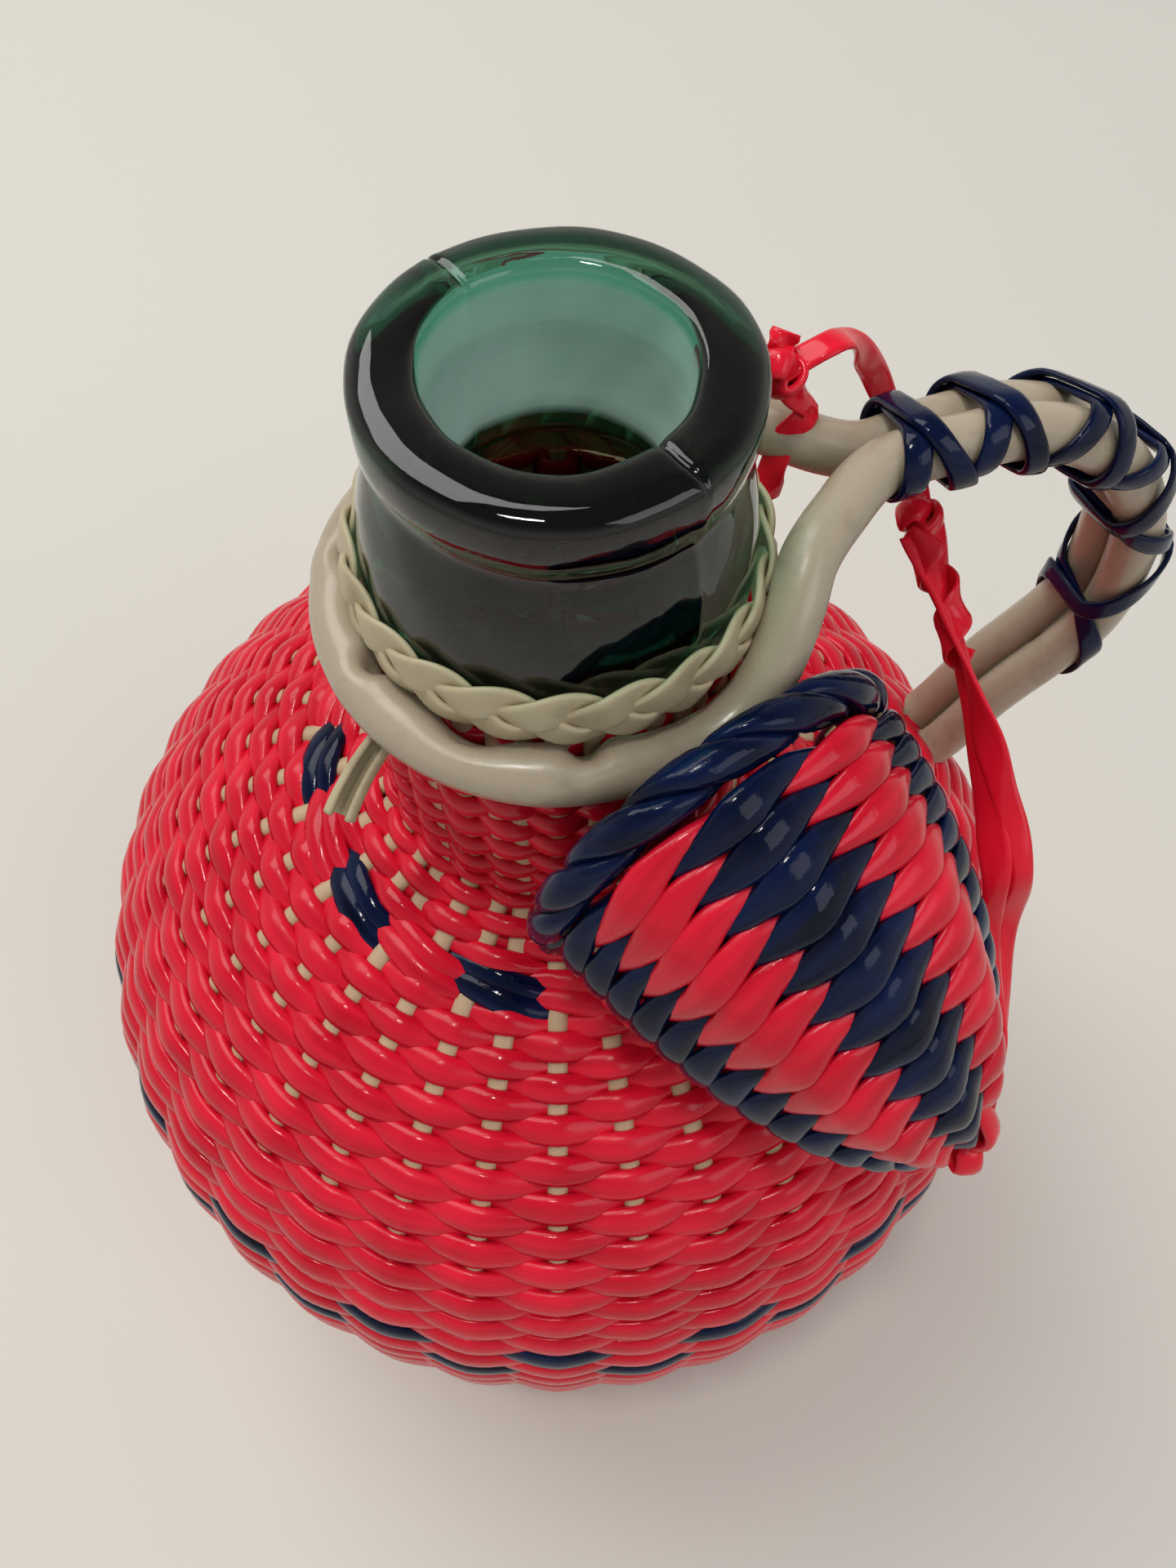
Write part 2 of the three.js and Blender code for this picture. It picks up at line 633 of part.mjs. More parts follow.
function capRing(centre, share, inset, count) {
  const turned = Math.min(1, Math.max(0, (share - CAP_MOUTH) * 1.4));
  const up = mouthUp.clone().lerp(tipUp, turned).normalize();
  const side = mouthSide.clone().lerp(tipSide, turned).normalize();
  const narrow = (1 - share ** 2) ** 0.58;
  const wide = CAP_HALF_W * narrow - inset;
  const tall = CAP_HALF_H * narrow - inset;
  const row = [];
  for (let j = 0; j < count; j++) {
    const a = 2 * Math.PI * j / count;
    const p = centre.clone().addScaledVector(capAxis, CAP_L * share);
    p.addScaledVector(side, wide * Math.cos(a));
    row.push(p.addScaledVector(up, tall * Math.sin(a)));
  }
  return row;
}

// The cap is let down until its lowest part meets the shoulder.
const capReach = ringR + tubeR + CAP_RIM_D / 2 + 3 * CLEAR;
const capCentre = mouthOut.clone().multiplyScalar(capReach - 2);
capCentre.z = ringZ;
const capShares = [CAP_MOUTH, 0.2, 0.38, 0.55, 0.7, 0.82, 0.91, 0.965];
let capGap = Infinity;
for (const share of [0, 0.1, ...capShares]) {
  for (const p of capRing(capCentre, share, share < CAP_MOUTH ? (CAP_WALL - CAP_RIM_D) / 2 : 0, 48)) {
    const reach = Math.hypot(p.x, p.y);
    capGap = Math.min(capGap, p.z - envelopeHeight(reach));
  }
}
capCentre.z -= capGap - 3 * CLEAR;
const capRows = capShares.map((share) => capRing(capCentre, share, 0, 24));
const capInner = capShares.slice(0, -1).map((share) => capRing(capCentre, share, CAP_WALL, 24));
addPiece("cap_weave", cupBody(capRows, capInner), "red");

// A cup: an outer skin and an inner skin of rings, joined at the mouth, closed at the far end.
function cupBody(outer, inner) {
  return tubeBody([...inner.slice().reverse(), ...outer]);
}

const rimRows = [];
for (let i = 0; i < 6; i++) {
  const a = rad(60 * i);
  const rimInset = CAP_WALL / 2 + CAP_RIM_D / 2 * Math.cos(a);
  const away = CAP_RIM_D / 2 * (Math.sin(a) - 1) - CLEAR;
  const row = capRing(capCentre, CAP_MOUTH, rimInset, 24);
  rimRows.push(row.map((p) => p.addScaledVector(mouthAway, away)));
}
addPiece("cap_rim", ringBody(rimRows), "navy");

// Red knot at the cap's tip.
const tipAt = capCentre.clone().addScaledVector(capAxis, CAP_L * 0.965 + KNOT_D / 2 + CLEAR);
addPiece("cap_tip_knot", new THREE.IcosahedronGeometry(KNOT_D / 2, 1).translate(...tipAt), "red");

// Tether: hitched over the handle from the neck, a knot under it, then free to the cap.
const lashDepth = lashInner + lashLift + LASH_T / 2;
const hangReach = HANDLE_REACH * 0.575;
const hangZ = ringZ + HANDLE_RISE - lashDepth - KNOT_D - 4 * CLEAR;
const hangAt = inHandle(hangReach, 0, hangZ);
addPiece("tether_knot", new THREE.IcosahedronGeometry(KNOT_D / 2, 1).translate(...hangAt), "red");
const knotOff = KNOT_D / 2 + 2 * CLEAR;
const behind = pairSide + lashDepth + HITCH_D / 2 + CLEAR;
const overZ = ringZ + HANDLE_RISE + lashDepth + HITCH_D;
const hitchPath = new THREE.CatmullRomCurve3(
  [
    inHandle(hangReach, 0.8 * knotOff, hangZ + 0.8 * knotOff),
    inHandle(hangReach - 1, behind - 3, hangZ + knotOff + 3),
    inHandle(hangReach - 5, behind + 0.5, hangZ + knotOff + 12),
    inHandle(hangReach - 11, behind - 1.5, overZ - 2),
    inHandle(hangReach - 17, behind - 6, overZ + 2),
    inHandle(hangReach - 22, behind - 10, overZ + 4),
    inHandle(hangReach - 27, 1.5, overZ + 1),
    inHandle(besideR - 2.5, 0, overZ - 8),
    inHandle(besideR - 2.5, 0, braidFootZ + BRAID_H),
  ],
  false,
  "centripetal",
);
addPiece(
  "tether_hitch",
  new THREE.ExtrudeGeometry(roundShape(HITCH_D, 6), { steps: 30, extrudePath: hitchPath }),
  "red",
);
const tetherLine = [
  [0.13, 0.35],
  [0.28, 0.7],
  [0.44, 1],
  [0.58, 1.2],
].map(([share, bow]) => hangAt.clone().lerp(tipAt, share).addScaledVector(outwardH, TETHER_BOW * bow));
tetherLine.push(
  tipAt.clone().addScaledVector(capAxis, -CAP_L * 0.27).addScaledVector(tipSide, CAP_HALF_W * 0.98),
  tipAt.clone().addScaledVector(capAxis, -CAP_L * 0.07).addScaledVector(tipSide, CAP_HALF_W * 0.56),
);
const knotStep = KNOT_D / 2 + CLEAR + 0.1;
const tetherTop = tetherLine[0].clone().sub(hangAt).setLength(knotStep).add(hangAt);
const tetherFoot = tetherLine[5].clone().sub(tipAt).setLength(knotStep).add(tipAt);
const tetherPath = new THREE.CatmullRomCurve3(
  [tetherTop, ...tetherLine, tetherFoot],
  false,
  "centripetal",
);
addPiece(
  "tether_cord",
  new THREE.ExtrudeGeometry(roundShape(TETHER_D, 8), { steps: 24, extrudePath: tetherPath }),
  "red",
);

export default group;
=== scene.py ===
import math

import bmesh
import bpy
import numpy as np
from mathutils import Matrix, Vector


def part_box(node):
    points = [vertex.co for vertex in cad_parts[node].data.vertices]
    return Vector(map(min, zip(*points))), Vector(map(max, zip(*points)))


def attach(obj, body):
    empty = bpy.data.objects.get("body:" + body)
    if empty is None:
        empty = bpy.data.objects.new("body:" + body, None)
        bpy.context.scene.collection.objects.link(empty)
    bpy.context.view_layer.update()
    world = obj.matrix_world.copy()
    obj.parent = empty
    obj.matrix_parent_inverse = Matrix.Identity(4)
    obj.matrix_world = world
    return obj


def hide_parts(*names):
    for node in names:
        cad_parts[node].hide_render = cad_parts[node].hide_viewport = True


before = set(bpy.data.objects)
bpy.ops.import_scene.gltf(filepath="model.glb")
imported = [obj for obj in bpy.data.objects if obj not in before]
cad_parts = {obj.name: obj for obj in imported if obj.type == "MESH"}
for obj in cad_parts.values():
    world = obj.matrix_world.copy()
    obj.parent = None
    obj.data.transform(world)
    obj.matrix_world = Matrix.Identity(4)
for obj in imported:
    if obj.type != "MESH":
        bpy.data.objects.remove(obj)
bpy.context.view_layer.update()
mm = 0.001  # shapes are worked out in millimetres and made in metres
print("frame loaded:", len(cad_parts), "solids")


# Small helpers

def linear(hexColour):
    shares = [int(hexColour[i:i + 2], 16) / 255 for i in (1, 3, 5)]
    return [c / 12.92 if c < 0.04045 else ((c + 0.055) / 1.055) ** 2.4 for c in shares] + [1.0]


def addNode(tree, kind, links=None, **settings):
    node = tree.nodes.new(kind)
    for key, value in settings.items():
        setattr(node, key, value)
    for key, value in (links or {}).items():
        if isinstance(value, bpy.types.Node):
            value = value.outputs[0]
        if isinstance(value, bpy.types.NodeSocket):
            tree.links.new(value, node.inputs[key])
        else:
            node.inputs[key].default_value = value
    return node


def newMaterial(name):
    material = bpy.data.materials.new(name)
    material.use_nodes = True
    material.node_tree.nodes.clear()
    return material, material.node_tree


def newMesh(name, points, faces, material=None):
    mesh = bpy.data.meshes.new(name)
    mesh.from_pydata((np.asarray(points, float).reshape(-1, 3) * mm).tolist(), [], faces, shade_flat=False)
    if material:
        mesh.materials.append(material)
    obj = bpy.data.objects.new(name, mesh)
    bpy.context.scene.collection.objects.link(obj)
    return obj


def settle(obj, body, slot, *nodes):
    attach(obj, body)
    if nodes:
        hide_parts(*nodes)
    return obj


def polar(radius, degrees, z):
    a = np.radians(degrees)
    return np.stack(np.broadcast_arrays(radius * np.cos(a), radius * np.sin(a), z), axis=-1)


def unit(v):
    return v / np.maximum(np.linalg.norm(v, axis=-1, keepdims=True), 1e-12)


def boxCentre(node):
    low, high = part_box(node)
    return np.array((low + high) / 2) / mm


# A smooth line through points, with the same rule as the solids' own curves
def throughPoints(points, count, perSpan=40):
    p = np.asarray(points, float)
    p = np.vstack([2 * p[0] - p[1], p, 2 * p[-1] - p[-2]])
    fine = []
    for i in range(1, len(p) - 2):
        a, b, c, d = p[i - 1:i + 3]
        ab, bc, cd = [max(np.linalg.norm(y - x), 1e-6) ** 0.5 for x, y in ((a, b), (b, c), (c, d))]
        m1 = ((b - a) / ab - (c - a) / (ab + bc) + (c - b) / bc) * bc
        m2 = ((c - b) / bc - (d - b) / (bc + cd) + (d - c) / cd) * bc
        t = np.linspace(0, 1, perSpan, endpoint=False)[:, None]
        fine.append((2 * t**3 - 3 * t**2 + 1) * b + (t**3 - 2 * t**2 + t) * m1
                    + (3 * t**2 - 2 * t**3) * c + (t**3 - t**2) * m2)
    return evenly(np.vstack(fine + [p[-2:-1]]), count)


def evenly(line, count):
    along = np.r_[0, np.cumsum(np.linalg.norm(np.diff(line, axis=0), axis=1))]
    at = np.linspace(0, along[-1], count)
    return np.stack([np.interp(at, along, line[:, k]) for k in range(3)], axis=1)


def tangents(line, closed=False):
    if closed:
        return unit(np.roll(line, -1, axis=0) - np.roll(line, 1, axis=0))
    return unit(np.gradient(line, axis=0))


# Directions square to a line that turn with it and no more
def carried(line, start):
    way = tangents(line)
    ups = [unit(start - way[0] * (start @ way[0]))]
    for t in way[1:]:
        up = ups[-1] - t * (ups[-1] @ t)
        ups.append(unit(up))
    return np.array(ups)


# A tube along a line: section holds (across, out) for each ring, and the cord attribute follows it
def sweep(name, line, outs, section, material, closed=False, strand=0):
    line = np.asarray(line, float)
    way = tangents(line, closed)
    outs = unit(outs - way * np.sum(outs * way, axis=1, keepdims=True))
    across = np.cross(way, outs)
    section = np.broadcast_to(section, (len(line), *np.shape(section)[-2:]))
    points = line[:, None] + across[:, None] * section[..., :1] + outs[:, None] * section[..., 1:]
    rings, sides = points.shape[:2]
    faces = []
    for i in range(rings if closed else rings - 1):
        k = (i + 1) % rings
        for j in range(sides):
            m = (j + 1) % sides
            faces.append((i * sides + j, i * sides + m, k * sides + m, k * sides + j))
    if not closed:
        faces.append(tuple(reversed(range(sides))))
        faces.append(tuple((rings - 1) * sides + j for j in range(sides)))
    obj = newMesh(name, points, faces, material)
    length = np.r_[0, np.cumsum(np.linalg.norm(np.diff(line, axis=0), axis=1))]
    cord = np.zeros((rings, sides, 3), np.float32)
    cord[..., 0] = length[:, None]
    cord[..., 1] = np.arange(sides) / sides
    cord[..., 2] = strand
    obj.data.attributes.new("cord", "FLOAT_VECTOR", "POINT").data.foreach_set("vector", cord.ravel())
    fixNormals(obj)
    return obj


def fixNormals(obj):
    work = bmesh.new()
    work.from_mesh(obj.data)
    bmesh.ops.recalc_face_normals(work, faces=work.faces)
    work.to_mesh(obj.data)
    work.free()


def oval(width, thick, sides, square=1.0):
    a = 2 * math.pi * np.arange(sides) / sides
    c, s = np.cos(a), np.sin(a)
    x = np.sign(c) * np.abs(c) ** square
    y = np.sign(s) * np.abs(s) ** square
    return np.stack([x * width / 2, y * thick / 2], axis=1)


def joined(name, pieces):
    bpy.ops.object.select_all(action="DESELECT")
    for piece in pieces:
        piece.select_set(True)
    bpy.context.view_layer.objects.active = pieces[0]
    bpy.ops.object.join()
    pieces[0].name = name
    pieces[0].data.name = name
    return pieces[0]


# Materials

# Soft PVC cord, extruded and pulled tight by hand: wet-looking gloss, faint streaks along its length,
# a little deeper in colour where the plastic is thick
cordLook = {
    "red": {"main": "#E51A36", "deep": "#BF0E26", "rough": (0.12, 0.3), "gloss": 0.35},
    "strip": {"main": "#F01D35", "deep": "#D8142B", "rough": (0.12, 0.28), "gloss": 0.35},
    "navy": {"main": "#081A42", "deep": "#03071A", "rough": (0.06, 0.18), "gloss": 0.26},
    "streakMm": 26, "streaksRound": 5, "strandStep": 3.7, "patchMm": 14, "grainMm": 0.9,
    "bump": 0.12, "bumpMm": 0.3, "ior": 1.45,
}


def pvcCord(name, look):
    material, tree = newMaterial(name)
    cord = addNode(tree, "ShaderNodeAttribute", attribute_name="cord").outputs["Vector"]
    stretch = (1 / cordLook["streakMm"], cordLook["streaksRound"], cordLook["strandStep"])
    streakAt = addNode(tree, "ShaderNodeVectorMath", {0: cord, 1: stretch}, operation="MULTIPLY")
    streak = addNode(tree, "ShaderNodeTexNoise", {"Vector": streakAt, "Scale": 1.0, "Detail": 3.0})
    streak = streak.outputs["Fac"]
    coords = addNode(tree, "ShaderNodeTexCoord").outputs["Object"]
    patch = addNode(tree, "ShaderNodeTexNoise", {
        "Vector": coords, "Scale": 1 / (cordLook["patchMm"] * mm), "Detail": 2.0}).outputs["Fac"]
    share = addNode(tree, "ShaderNodeMath", {0: streak, 1: patch}, operation="ADD")
    tone = addNode(tree, "ShaderNodeMapRange", {"Value": share, "From Min": 0.7, "From Max": 1.3})
    colour = addNode(tree, "ShaderNodeMix", {
        "Factor": tone, "A": linear(look["deep"]), "B": linear(look["main"])}, data_type="RGBA")
    low, high = look["rough"]
    rough = addNode(tree, "ShaderNodeMapRange", {
        "Value": patch, "From Min": 0.35, "From Max": 0.65, "To Min": low, "To Max": high})
    grain = addNode(tree, "ShaderNodeTexNoise", {"Vector": coords, "Scale": 1 / (cordLook["grainMm"] * mm)})
    height = addNode(tree, "ShaderNodeMath", {0: streak, 1: grain.outputs["Fac"]}, operation="ADD")
    bump = addNode(tree, "ShaderNodeBump", {
        "Height": height, "Strength": cordLook["bump"], "Distance": cordLook["bumpMm"] * mm})
    shader = addNode(tree, "ShaderNodeBsdfPrincipled", {
        "Base Color": colour.outputs["Result"], "Roughness": rough, "Normal": bump,
        "IOR": cordLook["ior"], "Specular IOR Level": look["gloss"]})
    addNode(tree, "ShaderNodeOutputMaterial", {"Surface": shader})
    return material


# Soft PVC hose and split tube, moulded plain: satin, greyed by handling, with darker smudges
hoseLook = {
    "stake": {"name": "beigePvcTube", "main": "#C0A684", "soiled": "#957A5A", "rough": 0.36},
    "handle": {"name": "greigePvcHose", "main": "#AEA08A", "soiled": "#7F705C", "rough": 0.27},
    "plait": {"name": "creamPvcStrip", "main": "#BAAC8C", "soiled": "#87775A", "rough": 0.4},
    "smudgeMm": 11, "grainMm": 1.2, "bump": 0.08, "bumpMm": 0.3, "ior": 1.52,
}


def pvcHose(look):
    material, tree = newMaterial(look["name"])
    coords = addNode(tree, "ShaderNodeTexCoord").outputs["Object"]
    smudge = addNode(tree, "ShaderNodeTexNoise", {
        "Vector": coords, "Scale": 1 / (hoseLook["smudgeMm"] * mm), "Detail": 5.0, "Roughness": 0.6})
    smudge = smudge.outputs["Fac"]
    soil = addNode(tree, "ShaderNodeMapRange", {"Value": smudge, "From Min": 0.54, "From Max": 0.9})
    colour = addNode(tree, "ShaderNodeMix", {
        "Factor": soil, "A": linear(look["main"]), "B": linear(look["soiled"])}, data_type="RGBA")
    rough = addNode(tree, "ShaderNodeMapRange", {
        "Value": smudge, "From Min": 0.3, "From Max": 0.7,
        "To Min": look["rough"] - 0.1, "To Max": look["rough"] + 0.12})
    grain = addNode(tree, "ShaderNodeTexNoise", {"Vector": coords, "Scale": 1 / (hoseLook["grainMm"] * mm)})
    bump = addNode(tree, "ShaderNodeBump", {
        "Height": grain.outputs["Fac"], "Strength": hoseLook["bump"], "Distance": hoseLook["bumpMm"] * mm})
    shader = addNode(tree, "ShaderNodeBsdfPrincipled", {
        "Base Color": colour.outputs["Result"], "Roughness": rough, "Normal": bump, "IOR": hoseLook["ior"]})
    addNode(tree, "ShaderNodeOutputMaterial", {"Surface": shader})
    return material


# Bottle glass, blown in a mould: green from iron, pale where thin and nearly black along the wall, with a
# soft ripple left by the mould. On the back of the bore lies painted light: a pale aqua coat in level streaks
# that stands in for light from behind coming through the glass. Inside the neck below the bore lies painted
# shade: a dark red tint that stands in for the shade inside the neck
glassLook = {
    "tint": "#F4FBF8", "absorb": "#00C0A8", "density": 225.0, "rough": 0.02, "ior": 1.52,
    "rippleMm": 9, "ripple": 0.2, "rippleDeepMm": 0.5,
    # painted light colours: a pale coat on the back of the bore for light through the glass, paler lower down
    "paintedLight": "#A6CDBD", "paintedLightLow": "#DCF4E9", "paintedLightShare": 0.88, "paintedLightRough": 0.3, "paintedLightRiseMm": (262, 277),
    # the last colour on the next line is painted shade: a dark red tint inside the neck below the bore
    "paintedLightStreakMm": (33.333, 33.333, 2.381), "paintedLightStreak": -0.35, "paintedShade": "#8C4A36",
    "through": "#EEF5F1", "lightShare": 0.25,
}


def bottleGlass():
    material, tree = newMaterial("greenBottleGlass")
    coords = addNode(tree, "ShaderNodeTexCoord").outputs["Object"]
    ripple = addNode(tree, "ShaderNodeTexNoise", {
        "Vector": coords, "Scale": 1 / (glassLook["rippleMm"] * mm), "Detail": 2.0})
    bump = addNode(tree, "ShaderNodeBump", {
        "Height": ripple.outputs["Fac"], "Strength": glassLook["ripple"],
        "Distance": glassLook["rippleDeepMm"] * mm})
    # painted shade: a dark red tint on the inside of the neck below the bore, for the shade inside it
    paintedShade = addNode(tree, "ShaderNodeAttribute", attribute_name="paintedShade").outputs["Fac"]
    tint = addNode(tree, "ShaderNodeMix", {
        "Factor": paintedShade, "A": linear(glassLook["tint"]), "B": linear(glassLook["paintedShade"])}, data_type="RGBA")
    clear = addNode(tree, "ShaderNodeBsdfPrincipled", {
        "Base Color": tint.outputs["Result"], "Roughness": glassLook["rough"], "IOR": glassLook["ior"],
        "Transmission Weight": 1.0, "Normal": bump})

    # painted light: a pale coat for the light that comes through the glass from behind, painted paler further
    # down where less light reaches
    paintedLight = addNode(tree, "ShaderNodeAttribute", attribute_name="paintedLight").outputs["Fac"]
    stretch = [1 / (size * mm) for size in glassLook["paintedLightStreakMm"]]
    streakAt = addNode(tree, "ShaderNodeVectorMath", {0: coords, 1: stretch}, operation="MULTIPLY")
    streak = addNode(tree, "ShaderNodeTexNoise", {"Vector": streakAt, "Scale": 1.0}).outputs["Fac"]
    height = addNode(tree, "ShaderNodeSeparateXYZ", {0: coords}).outputs["Z"]
    low, high = glassLook["paintedLightRiseMm"]
    rise = addNode(tree, "ShaderNodeMapRange", {
        "Value": height, "From Min": low * mm, "From Max": high * mm})
    shade = addNode(tree, "ShaderNodeMath", {0: streak, 1: glassLook["paintedLightStreak"], 2: rise},
                    operation="MULTIPLY_ADD")
    paintedLightColour = addNode(tree, "ShaderNodeMix", {
        "Factor": shade, "A": linear(glassLook["paintedLightLow"]), "B": linear(glassLook["paintedLight"])}, data_type="RGBA")
    paintedLightCoat = addNode(tree, "ShaderNodeBsdfPrincipled", {
        "Base Color": paintedLightColour.outputs["Result"], "Roughness": glassLook["paintedLightRough"]})
    surface = addNode(tree, "ShaderNodeMixShader", {0: paintedLight, 1: clear, 2: paintedLightCoat})

    # light that falls on the object goes straight through, so that the bore is lit
    path = addNode(tree, "ShaderNodeLightPath").outputs
    lit = addNode(tree, "ShaderNodeMath", {0: path["Is Shadow Ray"], 1: path["Is Diffuse Ray"]},
                  operation="MAXIMUM")
    through = addNode(tree, "ShaderNodeBsdfTransparent", {"Color": linear(glassLook["through"])})
    shader = addNode(tree, "ShaderNodeMixShader", {0: lit, 1: surface, 2: through})
    density = addNode(tree, "ShaderNodeMapRange", {
        "Value": lit, "To Min": glassLook["density"],
        "To Max": glassLook["density"] * glassLook["lightShare"]})
    volume = addNode(tree, "ShaderNodeVolumeAbsorption", {
        "Color": linear(glassLook["absorb"]), "Density": density})
    addNode(tree, "ShaderNodeOutputMaterial", {"Surface": shader, "Volume": volume})
    return material


# Drawn steel wire: bright, with fine marks left by the die
steelLook = {"main": "#A6A8AA", "markMm": 0.8, "rough": (0.25, 0.5)}


def drawnSteel():
    material, tree = newMaterial("drawnSteelWire")
    coords = addNode(tree, "ShaderNodeTexCoord").outputs["Object"]
    marks = addNode(tree, "ShaderNodeTexNoise", {
        "Vector": coords, "Scale": 1 / (steelLook["markMm"] * mm), "Detail": 4.0})
    low, high = steelLook["rough"]
    rough = addNode(tree, "ShaderNodeMapRange", {
        "Value": marks.outputs["Fac"], "To Min": low, "To Max": high})
    shader = addNode(tree, "ShaderNodeBsdfPrincipled", {
        "Base Color": linear(steelLook["main"]), "Metallic": 1.0, "Roughness": rough})
    addNode(tree, "ShaderNodeOutputMaterial", {"Surface": shader})
    return material


redCord = pvcCord("redPvcCord", cordLook["red"])
redStrip = pvcCord("redPvcStrip", cordLook["strip"])
navyCord = pvcCord("navyPvcCord", cordLook["navy"])
stakeTube = pvcHose(hoseLook["stake"])
handleHose = pvcHose(hoseLook["handle"])
creamStrip = pvcHose(hoseLook["plait"])
greenGlass = bottleGlass()
steelWire = drawnSteel()
print("materials made")


# Camera, floor and light

view = {
    "eye": (0, -111.4, 386.3), "pitch": 61.91, "focalPx": 1450, "centrePx": (683, 960),
    "imagePx": (1440, 1920), "sensor": 36, "nearest": 10,
}


def placeCamera():
    wide, tall = view["imagePx"]
    data = bpy.data.cameras.new("camera")
    data.sensor_width = view["sensor"]
    data.lens = view["focalPx"] / tall * view["sensor"]
    data.shift_x = (wide / 2 - view["centrePx"][0]) / tall
    data.shift_y = (view["centrePx"][1] - tall / 2) / tall
    data.clip_start = view["nearest"] * mm
    camera = bpy.data.objects.new("camera", data)
    camera.location = Vector(view["eye"]) * mm
    camera.rotation_euler = (math.radians(90 - view["pitch"]), 0, 0)
    bpy.context.scene.collection.objects.link(camera)
    bpy.context.scene.camera = camera


stage = {
    "floor": "#D8D5CC", "floorSize": 6.0, "floorRough": (0.5, 0.7), "floorCloudMm": 111.11,
    "sky": "#FAFAFA", "skySpan": (-0.1, 0.9), "worldLow": 0.24, "worldHigh": 0.52,
    "room": "#CFCDC7", "ceiling": "#6F6E6C", "ceilingSpan": (0.25, 0.8),
    "lamps": [
        {"name": "window", "at": (-1.0, 1.0, 2.2), "size": 1.6, "watts": 31, "colour": "#FFFEFC"},
        {"name": "fill", "at": (1.3, -1.0, 1.6), "size": 1.2, "watts": 8, "colour": "#F6F8FF"},
        {"name": "bulb", "at": (-0.25, -0.1, 1.9), "size": 0.16, "watts": 6, "colour": "#FFFCF6"},
    ],
    "aim": (0, 0, 0.15),
}


def softRoom():
    world = bpy.data.worlds.new("softRoom")
    world.use_nodes = True
    tree = world.node_tree
    tree.nodes.clear()
    coords = addNode(tree, "ShaderNodeTexCoord").outputs["Generated"]
    height = addNode(tree, "ShaderNodeSeparateXYZ", {0: coords}).outputs["Z"]
    low, high = stage["skySpan"]
    level = addNode(tree, "ShaderNodeMapRange", {
        "Value": height, "From Min": low, "From Max": high,
        "To Min": stage["worldLow"], "To Max": stage["worldHigh"]})
    sky = addNode(tree, "ShaderNodeBackground", {"Color": linear(stage["sky"]), "Strength": level})
    # the camera, glass and gloss see a pale room with a darker ceiling, which lights nothing else
    path = addNode(tree, "ShaderNodeLightPath").outputs
    seen = addNode(tree, "ShaderNodeMath", {0: path["Is Camera Ray"], 1: path["Is Transmission Ray"]},
                   operation="MAXIMUM")
    seen = addNode(tree, "ShaderNodeMath", {0: seen, 1: path["Is Glossy Ray"]}, operation="MAXIMUM")
    low, high = stage["ceilingSpan"]
    up = addNode(tree, "ShaderNodeMapRange", {"Value": height, "From Min": low, "From Max": high})
    tone = addNode(tree, "ShaderNodeMix", {
        "Factor": up, "A": linear(stage["room"]), "B": linear(stage["ceiling"])}, data_type="RGBA")
    room = addNode(tree, "ShaderNodeBackground", {"Color": tone.outputs["Result"], "Strength": 1.0})
    both = addNode(tree, "ShaderNodeMixShader", {0: seen, 1: sky, 2: room})
    addNode(tree, "ShaderNodeOutputWorld", {"Surface": both})
    return world


# Painted table top, rolled on: pale and dull, with a faint cloud in its sheen
def paintedTable():
    material, tree = newMaterial("palePaintedTable")
    coords = addNode(tree, "ShaderNodeTexCoord").outputs["Object"]
    cloud = addNode(tree, "ShaderNodeTexNoise", {
        "Vector": coords, "Scale": 1 / (stage["floorCloudMm"] * mm), "Detail": 4.0})
    low, high = stage["floorRough"]
    rough = addNode(tree, "ShaderNodeMapRange", {
        "Value": cloud.outputs["Fac"], "To Min": low, "To Max": high})
    shader = addNode(tree, "ShaderNodeBsdfPrincipled", {
        "Base Color": linear(stage["floor"]), "Roughness": rough})
    addNode(tree, "ShaderNodeOutputMaterial", {"Surface": shader})
    return material


def setStage():
    scene = bpy.context.scene
    scene.view_settings.view_transform = "Standard"
    scene.world = softRoom()
    half = stage["floorSize"] / 2 / mm
    corners = [(-half, -half, 0), (half, -half, 0), (half, half, 0), (-half, half, 0)]
    floor = newMesh("floor", corners, [(0, 1, 2, 3)], paintedTable())
    for lamp in stage["lamps"]:
        data = bpy.data.lights.new(lamp["name"], "AREA")
        data.size = lamp["size"]
        data.energy = lamp["watts"]
        data.color = linear(lamp["colour"])[:3]
        obj = bpy.data.objects.new(lamp["name"], data)
        obj.location = lamp["at"]
        beam = Vector(stage["aim"]) - Vector(lamp["at"])
        obj.rotation_euler = beam.to_track_quat("-Z", "Y").to_euler()
        scene.collection.objects.link(obj)


placeCamera()
setStage()
print("camera, floor and light set")


# Places that the handle, the cap and the tether share, in millimetres and degrees

